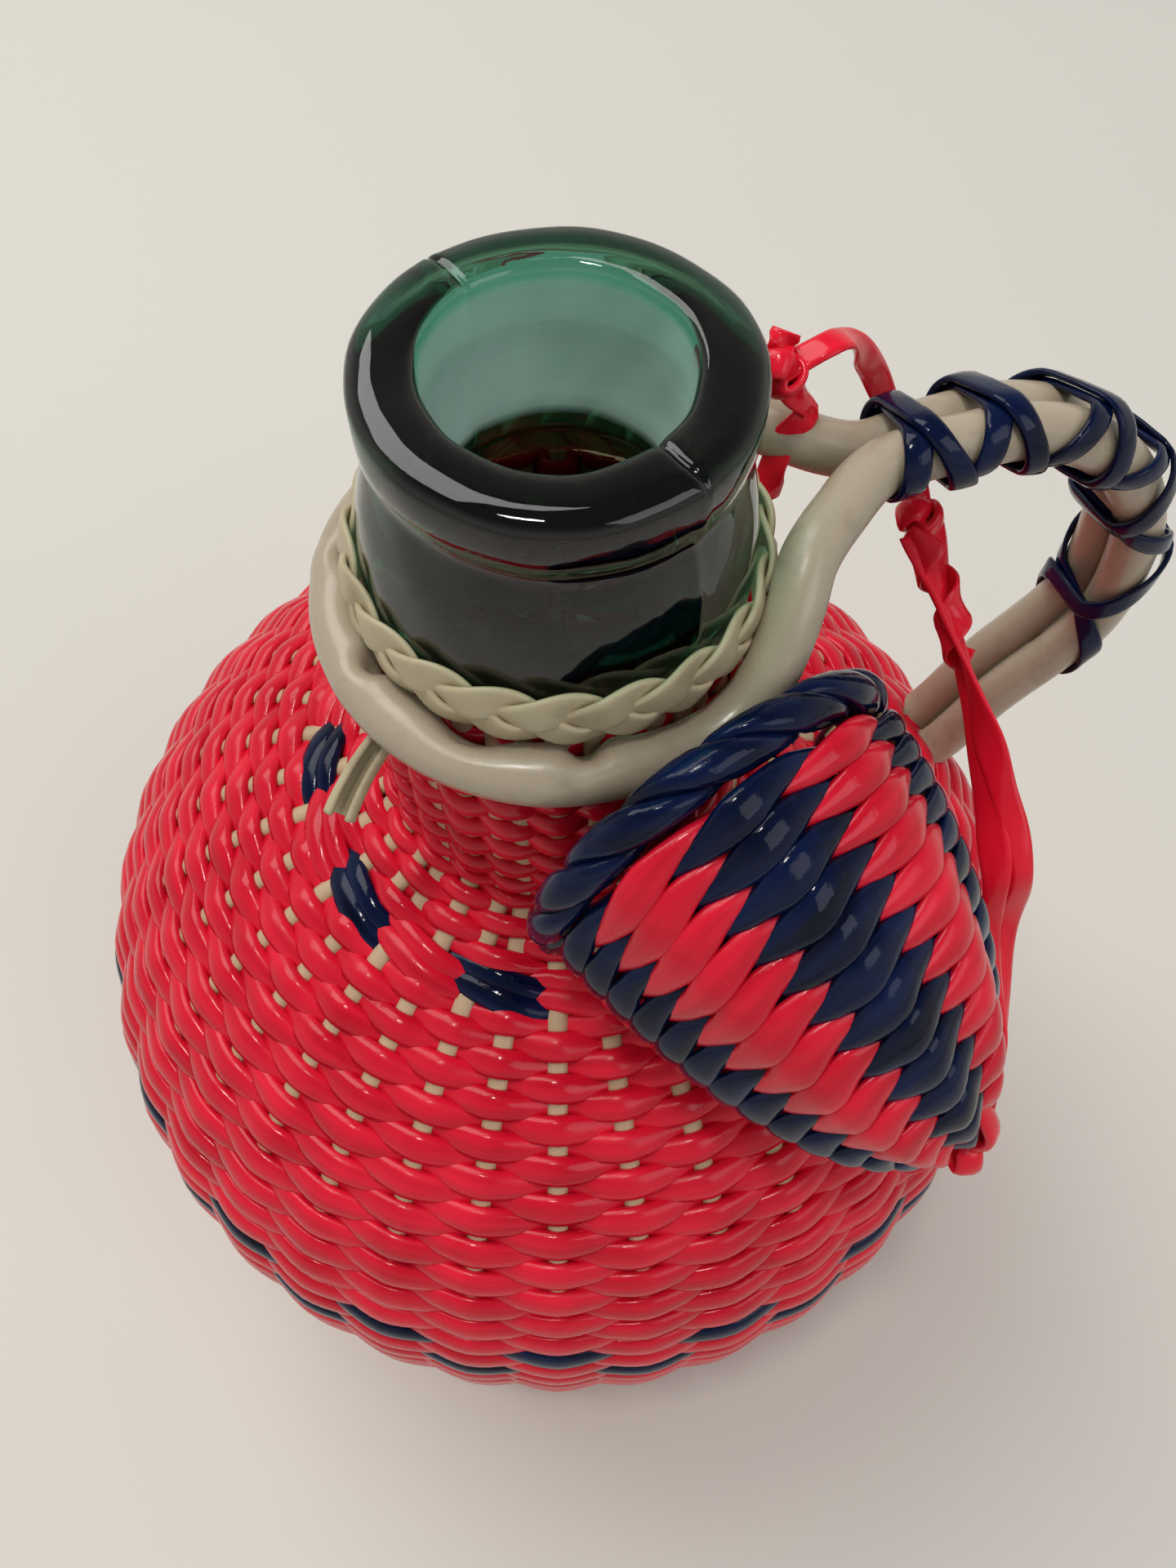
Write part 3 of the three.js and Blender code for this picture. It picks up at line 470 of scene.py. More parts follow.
handle = {
    "azimuth": 15, "reach": 104, "rise": 15.8, "footZ": 158.5, "ringZ": 242, "ringR": 33.4, "besideR": 35.8,
    "tubeD": 8.4, "legSide": 4.5, "tuck": 7, "tuckIn": 3.5, "footOut": 8.6,
    # from the neck out and down, in shares of the reach and of the rise, and the last bend above the foot
    "arch": [(0.45, 0.88), (0.56, 1), (0.68, 0.98), (0.82, 0.53), (0.94, -0.4), (0.99, -1.3), (1, -2.6)],
    "bend": (0.07, 16),
    # each leg's way to the loop: distance past besideR, degrees from the azimuth, share of the rise
    "frontWay": [(3.7, -14.5, 0.99), (-0.4, -27, 0.93), (-0.5, -37, 0.73), (-0.3, -46, 0.44),
                 (-0.4, -56, 0.16), (-1.2, -67, 0.02)],
    "backWay": [(0, 92, 0.12), (0, 62, 0.4), (0, 33, 0.72), (1.2, 14, 0.88)],
    "loop": (-85, -240, -25),  # degrees from the azimuth: from, to, step
    # degrees, depth and half length of each
    "kinks": [(175, 2.4, 2.6), (212, 2.4, 2.2), (246, 2.0, 5.0), (277, 2.3, 2.4)],
    # degrees at each point of the run: the front leg lies higher near the neck
    "pairTurn": [28, 28, 24, 14, 4, 0, 0, 0, 0, 0],
    "lashWide": 3.9, "lashThick": 1.2, "lashOut": 4.85, "lashLift": 1.3, "lashSteps": 44,
    # the lashing's place along the handle at each half turn
    "lashAt": [0.015, 0.045, 0.088, 0.125, 0.172, 0.235, 0.295, 0.36, 0.44, 0.53, 0.65, 0.79],
}
outward = polar(1, handle["azimuth"], 0)
sideways = polar(1, handle["azimuth"] + 90, 0)
upright = np.array([0, 0, 1.0])


def inHandle(reach, side, z):
    return outward * reach + sideways * side + upright * z


cap = {
    "mouthAzimuth": -55, "tipAzimuth": -41, "slope": 38, "mouthTilt": 6, "halfWide": 32, "halfTall": 29.5,
    "length": 73, "mouthAt": 0.05, "tipAt": 0.965, "knotGap": 4.5, "wall": 5.5,
    "turnRate": 1.4, "blunt": 0.58,
    "columns": 10, "turned": 0.35, "rows": 13, "weaveFrom": 0.06, "weaveSpan": 0.9, "weaveEnd": 0.97,
    "crowd": 0.2, "woven": 0.95, "stakeWide": 2.6, "stakeThick": 1.6, "stakeEnd": 0.955,
    "twined": {"shift": 0, "wave": 1.6, "thick": 2.3, "floatWide": 6.4, "diveWide": 1.0, "slant": -1.2,
               "crest": -0.8, "steps": 14, "section": 12},
    "rimD": 6.4, "rimGap": 0.3, "rimTurns": 7, "rimSwing": 1.6, "rimWide": 5.6, "rimThick": 4.0,
    "knotSize": 4.2, "knotWide": 4.8, "tipWide": 4.4, "tipThick": 2.0,
    "tipStrips": [(205, 1.2), (335, 1.2), (80, 0.8)],  # degrees, distance out from the weave
}


def leaning(azimuth, degrees):
    return polar(1, azimuth, 0) * math.cos(math.radians(degrees)) + upright * math.sin(math.radians(degrees))


hangAt = boxCentre("tether_knot")
tipAt = boxCentre("cap_tip_knot")
capAxis = leaning(cap["tipAzimuth"], -cap["slope"])
tipUp = leaning(cap["tipAzimuth"], 90 - cap["slope"])
tipSide = polar(1, cap["tipAzimuth"] + 90, 0)
mouthAway = leaning(cap["mouthAzimuth"], -cap["mouthTilt"])
mouthUp = leaning(cap["mouthAzimuth"], 90 - cap["mouthTilt"])
mouthSide = polar(1, cap["mouthAzimuth"] + 90, 0)
capCentre = tipAt - capAxis * (cap["length"] * cap["tipAt"] + cap["knotGap"])


# Tether: two soft strips that turn slowly round each other, with a wrap near the top

tether = {
    "bow": 10,
    "along": [(0.13, 0.35), (0.28, 0.7), (0.44, 1.0), (0.58, 1.2)],  # shares of the way and of the bow
    "besideCap": [(0.27, 0.98), (0.07, 0.56)],  # shares of the cap's length and of its half width
    "knotStep": 4.6, "intoKnot": 0.5, "face": (0.2, -1, 0.3),
    "stripWide": 4.7, "stripThick": 1.2, "apart": 1.7, "turns": 0.75, "firstTurn": 0.5,
    "endSlim": 0.3, "slimFrom": 0.6, "slimOver": 0.2,
    "wrapFrom": 1, "wrapLength": 21, "wrapTurns": 1.6, "wrapWide": 6.4, "wrapThick": 1.1, "wrapOut": 2.2,
}


def makeTether():
    line = [hangAt + (tipAt - hangAt) * share + outward * tether["bow"] * bow
            for share, bow in tether["along"]]
    for back, aside in tether["besideCap"]:
        line.append(tipAt - capAxis * cap["length"] * back + tipSide * cap["halfWide"] * aside)
    start = hangAt + unit(line[0] - hangAt) * tether["knotStep"]
    end = tipAt + unit(line[-1] - tipAt) * tether["knotStep"]
    route = throughPoints([start, *line, end], 150)
    length = np.linalg.norm(np.diff(route, axis=0), axis=1).sum()
    # both ends go into their knots
    first, last = [spot + (knotAt - spot) * tether["intoKnot"]
                   for spot, knotAt in ((route[0], hangAt), (route[-1], tipAt))]
    line = evenly(np.vstack([first, route, last]), 160)
    ups = carried(line, np.array(tether["face"]))
    sides = np.cross(tangents(line), ups)
    share = np.linspace(0, 1, len(line))[:, None]
    turn = 2 * math.pi * tether["turns"] * share + tether["firstTurn"]
    across = sides * np.cos(turn) + ups * np.sin(turn)
    outs = ups * np.cos(turn) - sides * np.sin(turn)
    # drawn together beside the cap
    slim = 1 - tether["endSlim"] * np.clip((share - tether["slimFrom"]) / tether["slimOver"], 0, 1)
    strips = []
    for k, side in enumerate((-1, 1)):
        swell = (1 + 0.14 * np.sin(17 * share + 2.3 * k) + 0.08 * np.sin(41 * share + k)) * slim
        size = np.stack([tether["stripWide"] * swell, tether["stripThick"] / swell], axis=-1)
        apart = tether["apart"] * (1 + 0.25 * np.sin(11 * share + 1.4)) * side * slim
        tilt = outs + across * side * 0.35 * np.sin(9 * share + k)
        section = oval(1, 1, 12, 0.7)[None] * size
        strips.append(sweep("strip", line + across * apart, tilt, section, redStrip, strand=k))
    wrap = np.linspace(0, 1, 90)
    at = (tether["wrapFrom"] + tether["wrapLength"] * wrap) / length * (len(line) - 1)
    spin = 2 * math.pi * tether["wrapTurns"] * wrap[:, None]
    centre, up, side = [np.stack([np.interp(at, np.arange(len(line)), v[:, k]) for k in range(3)], axis=1)
                        for v in (line, ups, sides)]
    away = up * np.cos(spin) + side * np.sin(spin)
    loose = tether["wrapOut"] * (1 + 0.25 * np.sin(7 * wrap + 0.4))[:, None]
    narrow = (tether["wrapWide"] * (1 - 0.35 * wrap**2 + 0.12 * np.sin(13 * wrap)))[:, None]
    size = np.stack([narrow, np.full_like(narrow, tether["wrapThick"])], axis=-1)
    section = oval(1, 1, 12, 0.65)[None] * size
    strips.append(sweep("strip", centre + away * loose, away, section, redStrip, strand=2))
    made = joined("tetherCord", strips)
    settle(made, "tether", "red_cord", "tether_cord")


makeTether()
print("tether hung")


# Glass bottle. Radius and height in millimetres, the same curves as the solid's

bottle = {
    "bellyR": 99.2, "bellyZ": 95, "upperH": 89.4, "upperPower": 2.41, "lowerH": 96, "lowerPower": 2.6,
    "shoulderR": 44, "neckR": 24.5, "neckTurn": 17, "neckTopZ": 246.5, "baseZ": 6.3, "around": 144,
    "collarR": 28.5, "collarZ": 250.5, "lipR": 26, "lipZ": 280, "lipRound": 5.5,
    "boreR": 17, "boreFootZ": 259.5,
    "wall": 3.4, "neckWall": 4, "puntR": 40, "puntH": 14, "puntPower": 2.2,
    "lipEdge": 2.4, "lipSag": 0.25, "boreEdge": 1.5, "boreDrop": 1.7,
    "seamAt": 131, "seamDeep": 0.4, "seamWide": 0.5, "seamStep": 0.25, "wave": 0.1, "lipWave": 0.12,
    # the painted light lies on the back of the bore and fades out at its foot, at its top and to the front
    "paintedLightDeep": 1.2, "paintedLightFront": -7, "paintedLightFade": 10, "paintedLightFoot": 0.5, "paintedLightFootFade": 2,
    # the last two set where the painted shade lies inside the neck: how far in from the glass and how far
    # below the bore
    "paintedLightTop": 3.6, "paintedLightTopFade": 1.5, "paintedShadeDeep": 1.5, "paintedShadeGap": 2,
}


def bellyRadius(z):
    up = z > bottle["bellyZ"]
    power = np.where(up, bottle["upperPower"], bottle["lowerPower"])
    share = np.abs(z - bottle["bellyZ"]) / np.where(up, bottle["upperH"], bottle["lowerH"])
    return bottle["bellyR"] * (1 - np.minimum(1, share) ** power) ** (1 / power)


def shoulderHeight(radius):
    power = bottle["upperPower"]
    return bottle["bellyZ"] + bottle["upperH"] * (1 - (radius / bottle["bellyR"]) ** power) ** (1 / power)


shoulderZ = shoulderHeight(bottle["shoulderR"])
neckFootZ = shoulderZ + bottle["neckTurn"]


# Outside of the glass from the top of the neck down to its base
def glassLine(turnSteps, bellySteps):
    slope = shoulderHeight(bottle["shoulderR"] - 0.5) - shoulderHeight(bottle["shoulderR"] + 0.5)
    t = np.linspace(0, 1, turnSteps)[:, None]
    a = np.array([bottle["neckR"], neckFootZ])
    b = np.array([bottle["neckR"], neckFootZ - bottle["neckTurn"] * 0.5])
    c = np.array([bottle["shoulderR"] - 10, shoulderZ + 10 * slope])
    d = np.array([bottle["shoulderR"], shoulderZ])
    turn = a * (1 - t)**3 + 3 * b * t * (1 - t)**2 + 3 * c * t**2 * (1 - t) + d * t**3
    top = math.asin(((shoulderZ - bottle["bellyZ"]) / bottle["upperH"]) ** (bottle["upperPower"] / 2))
    low = math.asin(((bottle["bellyZ"] - bottle["baseZ"]) / bottle["lowerH"]) ** (bottle["lowerPower"] / 2))
    up = np.sin(np.linspace(top, 0, bellySteps)[1:])
    down = np.sin(np.linspace(0, low, bellySteps)[1:])
    heights = np.r_[bottle["bellyZ"] + bottle["upperH"] * up ** (2 / bottle["upperPower"]),
                    bottle["bellyZ"] - bottle["lowerH"] * down ** (2 / bottle["lowerPower"])]
    belly = np.stack([bellyRadius(heights), heights], axis=1)
    return np.vstack([[[bottle["neckR"], bottle["neckTopZ"]]], turn, belly])


meridian = glassLine(40, 160)
meridianAt = np.r_[0, np.cumsum(np.linalg.norm(np.diff(meridian, axis=0), axis=1))]
meridianWay = unit(np.gradient(meridian, axis=0))


def lengthAtHeight(z):
    return float(np.interp(-z, -meridian[:, 1], meridianAt))


# Radius and height at a length along the glass, so far out from it
def onGlass(length, out):
    r, z, wr, wz = [np.interp(length, meridianAt, v) for v in (*meridian.T, *meridianWay.T)]
    return r - wz * out, z + wr * out


def wallPoints():
    neckR, baseZ, wall = bottle["neckR"], bottle["baseZ"], bottle["wall"]
    puntR, puntH, power = bottle["puntR"], bottle["puntH"], bottle["puntPower"]
    lipR, lipZ, boreR, footZ = bottle["lipR"], bottle["lipZ"], bottle["boreR"], bottle["boreFootZ"]
    outer = glassLine(16, 40)[::-1]
    base = [(puntR * share, baseZ + puntH * (1 - share**power)) for share in (0, 0.2, 0.4, 0.6, 0.8, 0.95)]
    base += [(puntR + 2, baseZ + 0.3), (puntR + 4, baseZ)]
    collarR, collarZ = bottle["collarR"], bottle["collarZ"]
    collar = throughPoints([
        (neckR, bottle["neckTopZ"], 0), (neckR + 0.8, collarZ - 2.6, 0), (collarR - 0.7, collarZ - 0.4, 0),
        (collarR, collarZ + 1.8, 0), (collarR - 0.4, collarZ + 8, 0), (collarR - 1.6, collarZ + 15, 0),
        (collarR - 3.2, collarZ + 21, 0), (collarR - 3.8, lipZ - 6.4, 0)], 30)[1:, :2]
    # a broad lip, almost flat on top, with rounded edges
    edge, inEdge, sag = bottle["lipEdge"], bottle["boreEdge"], bottle["lipSag"]
    top, under = lipZ + bottle["lipRound"], lipZ - bottle["lipRound"]
    lip = [(lipR - edge + edge * math.cos(a), under + 1.6 + edge * (1 + math.sin(a)))
           for a in np.radians(np.linspace(-65, -16.667, 4))]
    lip.append((lipR, lipZ))
    lip += [(lipR - edge + edge * math.cos(a), top - edge - sag + edge * math.sin(a))
            for a in np.radians((8, 25, 42, 60, 76))]
    lip += [(lipR - share * (lipR - boreR), top - sag * (2 * share - 1) ** 2)
            for share in (0.35, 0.45, 0.55, 0.65, 0.75)]
    lip += [(boreR + inEdge - inEdge * math.sin(a), top - bottle["boreDrop"] + inEdge * math.cos(a))
            for a in np.radians((12, 30, 50, 70, 88))]
    bore = throughPoints([
        (boreR, lipZ + 2.4, 0), (boreR, lipZ - 6, 0), (boreR + 0.1, footZ + 7, 0), (boreR, footZ + 1, 0),
        (boreR + 0.9, footZ - 2.4, 0), (neckR - bottle["neckWall"], footZ - 7, 0)], 16)[:, :2]
    inner = glassLine(14, 34)
    way = unit(np.gradient(inner, axis=0))
    thick = np.where(inner[:, :1] > neckR + 0.01, wall, bottle["neckWall"])
    inner = inner + thick * np.stack([way[:, 1], -way[:, 0]], axis=1)
    inner = inner[inner[:, 1] > baseZ + wall + 0.5]
    floor = [(puntR + 5, baseZ + wall)]
    floor += [(puntR * share, baseZ + wall + puntH * (1 - share**power))
              for share in (0.9, 0.7, 0.45, 0.2, 0)]
    return np.vstack([base, outer, collar, lip, bore, inner, floor])


# How much painted light and how much painted shade lies at each point
def insideLooks(points, height):
    radius = np.hypot(points[:, 0], points[:, 1])
    footZ = bottle["boreFootZ"]
    inBore = radius < bottle["boreR"] + bottle["paintedLightDeep"]
    behind = np.clip((points[:, 1] - bottle["paintedLightFront"]) / bottle["paintedLightFade"], 0, 1)
    aboveFoot = np.clip((height - footZ - bottle["paintedLightFoot"]) / bottle["paintedLightFootFade"], 0, 1)
    belowTop = np.clip((bottle["lipZ"] + bottle["paintedLightTop"] - height) / bottle["paintedLightTopFade"], 0, 1)
    inNeck = radius < bottle["neckR"] - bottle["paintedShadeDeep"]
    belowBore = (height < footZ - bottle["paintedShadeGap"]) & (height > neckFootZ)
    return {
        "paintedLight": glassLook["paintedLightShare"] * inBore * behind * aboveFoot * belowTop,
        "paintedShade": (inNeck & belowBore) * 1.0,
    }


def makeBottle():
    profile = wallPoints()
    angles = 360 * np.arange(bottle["around"]) / bottle["around"]
    seam = bottle["seamAt"] + np.array([-2, -1.4, -1, -0.6, -0.3, 0, 0.3, 0.6, 1, 1.4, 2])
    angles = np.unique(np.round(np.r_[angles, seam, seam + 180], 3) % 360)
    around = len(angles)
    r, z = profile[:, :1], profile[:, 1:]
    a = np.radians(angles)[None]
    ripple = np.sin(3 * a + 0.11 * z) + 0.7 * np.sin(7 * a - 0.23 * z + 1.7)
    ripple = ripple + 0.5 * np.sin(13 * a + 0.41 * z + 4)
    onNeck = np.clip((z - neckFootZ) / 30, 0, 1)
    radius = r + bottle["wave"] * onNeck * ripple * (r > 1)
    height = np.broadcast_to(z, radius.shape).copy()
    lipShare = np.clip((z - bottle["lipZ"] + 1) / 4, 0, 1)
    height += bottle["lipWave"] * lipShare * (np.sin(5 * a + 0.6) + np.sin(2 * a + 2.1))
    onCollar = np.clip((z - bottle["collarZ"]) / 4, 0, 1)
    for side in (0, 180):  # the mould's two halves leave a groove across the lip and a step down the collar
        off = (angles[None] - bottle["seamAt"] - side + 180) % 360 - 180
        wander = 2.2 * np.sin(0.9 * (r - 20)) / np.maximum(r, 5)
        near = np.radians(off) * r + wander
        height -= bottle["seamDeep"] * lipShare * np.exp(-(near / bottle["seamWide"]) ** 2)
        radius += bottle["seamStep"] * onCollar * np.exp(-(near / 1.2) ** 2)
    points = np.stack([radius * np.cos(a), radius * np.sin(a), height], axis=2)
    count = len(profile)
    poles = np.array([[0, 0, profile[0, 1]], [0, 0, profile[-1, 1]]])
    body = points[1:-1].reshape(-1, 3)
    faces = []
    for i in range(count - 3):
        for j in range(around):
            k = (j + 1) % around
            faces.append((i * around + j, i * around + k, (i + 1) * around + k, (i + 1) * around + j))
    first, last = len(body), len(body) + 1
    for j in range(around):
        k = (j + 1) % around
        faces.append((first, k, j))
        faces.append((last, (count - 3) * around + j, (count - 3) * around + k))
    obj = newMesh("glassBottle", np.vstack([body, poles]), faces, greenGlass)
    fixNormals(obj)
    smooth = np.broadcast_to(z[1:-1], (count - 2, around)).ravel()
    for name, share in insideLooks(body, smooth).items():
        data = np.r_[share, 0, 0].astype(np.float32)
        obj.data.attributes.new(name, "FLOAT", "POINT").data.foreach_set("value", data)
    return settle(obj, "carafe", "green_glass", "glass_bottle")


makeBottle()
print("bottle blown")


# Weave: Geometry Nodes lay rows of cord over and under the stakes of a guide surface.
# The guide's map runs once round it in U and along it in V

def guideSurface(name, place, around, along, vFrom=-0.03, vTo=1.03):
    u = np.arange(-2, around + 3) / around
    v = np.linspace(vFrom, vTo, along)
    points = place(u[None], v[:, None])
    wide = len(u)
    faces = [(i * wide + j, (i + 1) * wide + j, (i + 1) * wide + j + 1, i * wide + j + 1)
             for i in range(along - 1) for j in range(wide - 1)]
    obj = newMesh(name, points, faces)
    layer = obj.data.uv_layers.new(name="guide")
    corner = np.zeros(len(obj.data.loops), np.int32)
    obj.data.loops.foreach_get("vertex_index", corner)
    uv = np.stack([u[corner % wide], v[corner // wide]], axis=1).astype(np.float32)
    layer.data.foreach_set("uv", uv.ravel())
    return obj


# A tree with named inputs, and their sockets
def newTree(name, inputs):
    tree = bpy.data.node_groups.new(name, "GeometryNodeTree")
    for kind, names in inputs.items():
        for socket in names:
            tree.interface.new_socket(name=socket, in_out="INPUT", socket_type="NodeSocket" + kind)
    tree.interface.new_socket(name="Geometry", in_out="OUTPUT", socket_type="NodeSocketGeometry")
    return tree, addNode(tree, "NodeGroupInput").outputs


weaving = {
    "rowStep": 0.9, "noiseScale": 5.0, "sideSlip": 2, "outSlip": 1, "crowd": 0.45, "columnLength": 12.0,
}


def weaveTree():
    tree, given = newTree("cordOverStakes", {
        "Object": ["Guide"], "Material": ["Cord"], "Int": ["Rows", "Columns", "Steps", "Section"],
        "Float": ["Guide Length", "First Row", "Row Pitch", "Row Shift", "Start", "Wave", "Crest",
                  "Float Width", "Dive Width", "Thickness", "Slant", "Widen", "Hand", "Seed"]})

    # one ring of cord, with its place along and round it kept
    count = addNode(tree, "ShaderNodeMath", {0: given["Columns"], 1: given["Steps"]}, operation="MULTIPLY")
    factor = addNode(tree, "GeometryNodeSplineParameter").outputs["Factor"]
    ring = addNode(tree, "GeometryNodeCurvePrimitiveCircle", {"Resolution": count})
    ring = addNode(tree, "GeometryNodeStoreNamedAttribute", {
        "Geometry": ring, "Name": "along", "Value": factor})
    edge = addNode(tree, "GeometryNodeCurvePrimitiveCircle", {"Resolution": given["Section"], "Radius": 0.01})
    edge = addNode(tree, "GeometryNodeStoreNamedAttribute", {
        "Geometry": edge, "Name": "around", "Value": factor})
    cord = addNode(tree, "GeometryNodeCurveToMesh", {"Curve": ring, "Profile Curve": edge})

    # as many rings as there are rows
    line = addNode(tree, "GeometryNodeMeshLine", {"Count": given["Rows"]})
    index = addNode(tree, "GeometryNodeInputIndex")
    rows = addNode(tree, "GeometryNodeInstanceOnPoints", {"Points": line, "Instance": cord})
    rows = addNode(tree, "GeometryNodeStoreNamedAttribute", {"Geometry": rows, "Name": "row", "Value": index},
                   domain="INSTANCE")
    rows = addNode(tree, "GeometryNodeRealizeInstances", {"Geometry": rows})

    # over and under: the wave is 1 over a stake and -1 behind it
    along = addNode(tree, "GeometryNodeInputNamedAttribute", {"Name": "along"})
    around = addNode(tree, "GeometryNodeInputNamedAttribute", {"Name": "around"})
    row = addNode(tree, "GeometryNodeInputNamedAttribute", {"Name": "row"})
    column = addNode(tree, "ShaderNodeMath", {0: along, 1: given["Columns"], 2: given["Start"]},
                     operation="MULTIPLY_ADD")
    phase = addNode(tree, "ShaderNodeMath", {0: row, 1: given["Row Shift"], 2: column},
                    operation="MULTIPLY_ADD")
    angle = addNode(tree, "ShaderNodeMath", {0: phase, 1: math.pi}, operation="MULTIPLY")
    swing = addNode(tree, "ShaderNodeMath", {0: angle}, operation="COSINE")
    lean = addNode(tree, "ShaderNodeMath", {0: angle}, operation="SINE")
    square = addNode(tree, "ShaderNodeMath", {0: swing, 1: swing}, operation="MULTIPLY")
    rest = addNode(tree, "ShaderNodeMath", {0: 1.0, 1: square}, operation="SUBTRACT")
    halfCrest = addNode(tree, "ShaderNodeMath", {0: given["Crest"], 1: 0.5}, operation="MULTIPLY")
    flatten = addNode(tree, "ShaderNodeMath", {0: rest, 1: halfCrest, 2: 1.0}, operation="MULTIPLY_ADD")
    wave = addNode(tree, "ShaderNodeMath", {0: swing, 1: flatten}, operation="MULTIPLY")
    open_ = addNode(tree, "ShaderNodeMapRange", {"Value": wave, "From Min": -1.0, "From Max": 1.0})

    # small unevenness of the hand, the same on both sides of the ring's start
    turn = addNode(tree, "ShaderNodeMath", {0: along, 1: 2 * math.pi}, operation="MULTIPLY")
    east = addNode(tree, "ShaderNodeMath", {0: turn}, operation="COSINE")
    north = addNode(tree, "ShaderNodeMath", {0: turn}, operation="SINE")
    level = addNode(tree, "ShaderNodeMath", {0: row, 1: weaving["rowStep"], 2: given["Seed"]},
                    operation="MULTIPLY_ADD")
    spot = addNode(tree, "ShaderNodeCombineXYZ", {0: east, 1: north, 2: level})
    noise = addNode(tree, "ShaderNodeTexNoise", {
        "Vector": spot, "Scale": weaving["noiseScale"], "Detail": 1.0})
    uneven = addNode(tree, "ShaderNodeVectorMath", {0: noise.outputs["Color"], 1: (0.5, 0.5, 0.5)},
                     operation="SUBTRACT")
    uneven = addNode(tree, "ShaderNodeVectorMath", {0: uneven, "Scale": given["Hand"]}, operation="SCALE")
    uneven = addNode(tree, "ShaderNodeSeparateXYZ", {0: uneven}).outputs

    # section of the cord: wide and flat over a stake, narrow behind it, with more points on the outside
    spin = addNode(tree, "ShaderNodeMath", {0: around, 1: 2 * math.pi}, operation="MULTIPLY")
    crowd = addNode(tree, "ShaderNodeMath", {0: spin}, operation="COSINE")
    spin = addNode(tree, "ShaderNodeMath", {0: crowd, 1: weaving["crowd"], 2: spin},
                   operation="MULTIPLY_ADD")
    sideShare = addNode(tree, "ShaderNodeMath", {0: spin}, operation="COSINE")
    outShare = addNode(tree, "ShaderNodeMath", {0: spin}, operation="SINE")
    widen = addNode(tree, "ShaderNodeMath", {0: row, 1: given["Widen"], 2: given["Float Width"]},
                    operation="MULTIPLY_ADD")
    width = addNode(tree, "ShaderNodeMapRange", {
        "Value": open_, "To Min": given["Dive Width"], "To Max": widen})
    width = addNode(tree, "ShaderNodeMath", {0: uneven["X"], 1: width, 2: width}, operation="MULTIPLY_ADD")
    across = addNode(tree, "ShaderNodeMath", {0: width, 1: sideShare}, operation="MULTIPLY")
    across = addNode(tree, "ShaderNodeMath", {0: across, 1: 0.5}, operation="MULTIPLY")
    across = addNode(tree, "ShaderNodeMath", {0: lean, 1: given["Slant"], 2: across},
                     operation="MULTIPLY_ADD")
    across = addNode(tree, "ShaderNodeMath", {0: uneven["Y"], 1: weaving["sideSlip"] * mm, 2: across},
                     operation="MULTIPLY_ADD")
    halfThick = addNode(tree, "ShaderNodeMath", {0: given["Thickness"], 1: 0.5}, operation="MULTIPLY")
    out = addNode(tree, "ShaderNodeMath", {0: outShare, 1: halfThick}, operation="MULTIPLY")
    out = addNode(tree, "ShaderNodeMath", {0: wave, 1: given["Wave"], 2: out}, operation="MULTIPLY_ADD")
    out = addNode(tree, "ShaderNodeMath", {0: uneven["Z"], 1: weaving["outSlip"] * mm, 2: out},
                  operation="MULTIPLY_ADD")

    # from the map to the guide surface, then outward
    mid = addNode(tree, "ShaderNodeMath", {0: row, 1: given["Row Pitch"], 2: given["First Row"]},
                  operation="MULTIPLY_ADD")
    at = addNode(tree, "ShaderNodeMath", {0: mid, 1: across}, operation="ADD")
    at = addNode(tree, "ShaderNodeMath", {0: at, 1: given["Guide Length"]}, operation="DIVIDE")
    spot = addNode(tree, "ShaderNodeCombineXYZ", {0: along, 1: at})
    guide = addNode(tree, "GeometryNodeObjectInfo", {"Object": given["Guide"]}).outputs["Geometry"]
    mapped = addNode(tree, "GeometryNodeInputNamedAttribute", {"Name": "guide"}, data_type="FLOAT_VECTOR")
    position = addNode(tree, "GeometryNodeInputPosition")
    normal = addNode(tree, "GeometryNodeInputNormal")
    foot, away = [addNode(tree, "GeometryNodeSampleUVSurface", {
        "Mesh": guide, "Value": value, 2: mapped, "Sample UV": spot}, data_type="FLOAT_VECTOR")
        for value in (position, normal)]
    away = addNode(tree, "ShaderNodeVectorMath", {0: away}, operation="NORMALIZE")
    lift = addNode(tree, "ShaderNodeVectorMath", {0: away, "Scale": out}, operation="SCALE")
    place = addNode(tree, "ShaderNodeVectorMath", {0: foot, 1: lift}, operation="ADD")
    nominal = addNode(tree, "ShaderNodeMath", {0: column, 1: weaving["columnLength"]}, operation="MULTIPLY")
    kept = addNode(tree, "ShaderNodeCombineXYZ", {0: nominal, 1: around, 2: row})
    rows = addNode(tree, "GeometryNodeStoreNamedAttribute", {"Geometry": rows, "Name": "cord", "Value": kept},
                   data_type="FLOAT_VECTOR")
    rows = addNode(tree, "GeometryNodeSetPosition", {"Geometry": rows, "Position": place})
    rows = addNode(tree, "GeometryNodeSetMaterial", {"Geometry": rows, "Material": given["Cord"]})
    addNode(tree, "NodeGroupOutput", {"Geometry": rows})
    return tree


def baked(name, tree, values):
    obj = newMesh(name, [], [])
    modifier = obj.modifiers.new("nodes", "NODES")
    modifier.node_group = tree
    for item in tree.interface.items_tree:
        if item.in_out == "INPUT" and item.name in values:
            modifier[item.identifier] = values[item.name]
    made = bpy.data.meshes.new_from_object(obj.evaluated_get(bpy.context.evaluated_depsgraph_get()))
    obj.modifiers.remove(modifier)
    made.name = name
    obj.data = made
    for extra in ("along", "around", "row"):
        if extra in made.attributes:
            made.attributes.remove(made.attributes[extra])
    made.shade_smooth()
    fixNormals(obj)
    return obj


cordWeave = weaveTree()


# Woven jacket

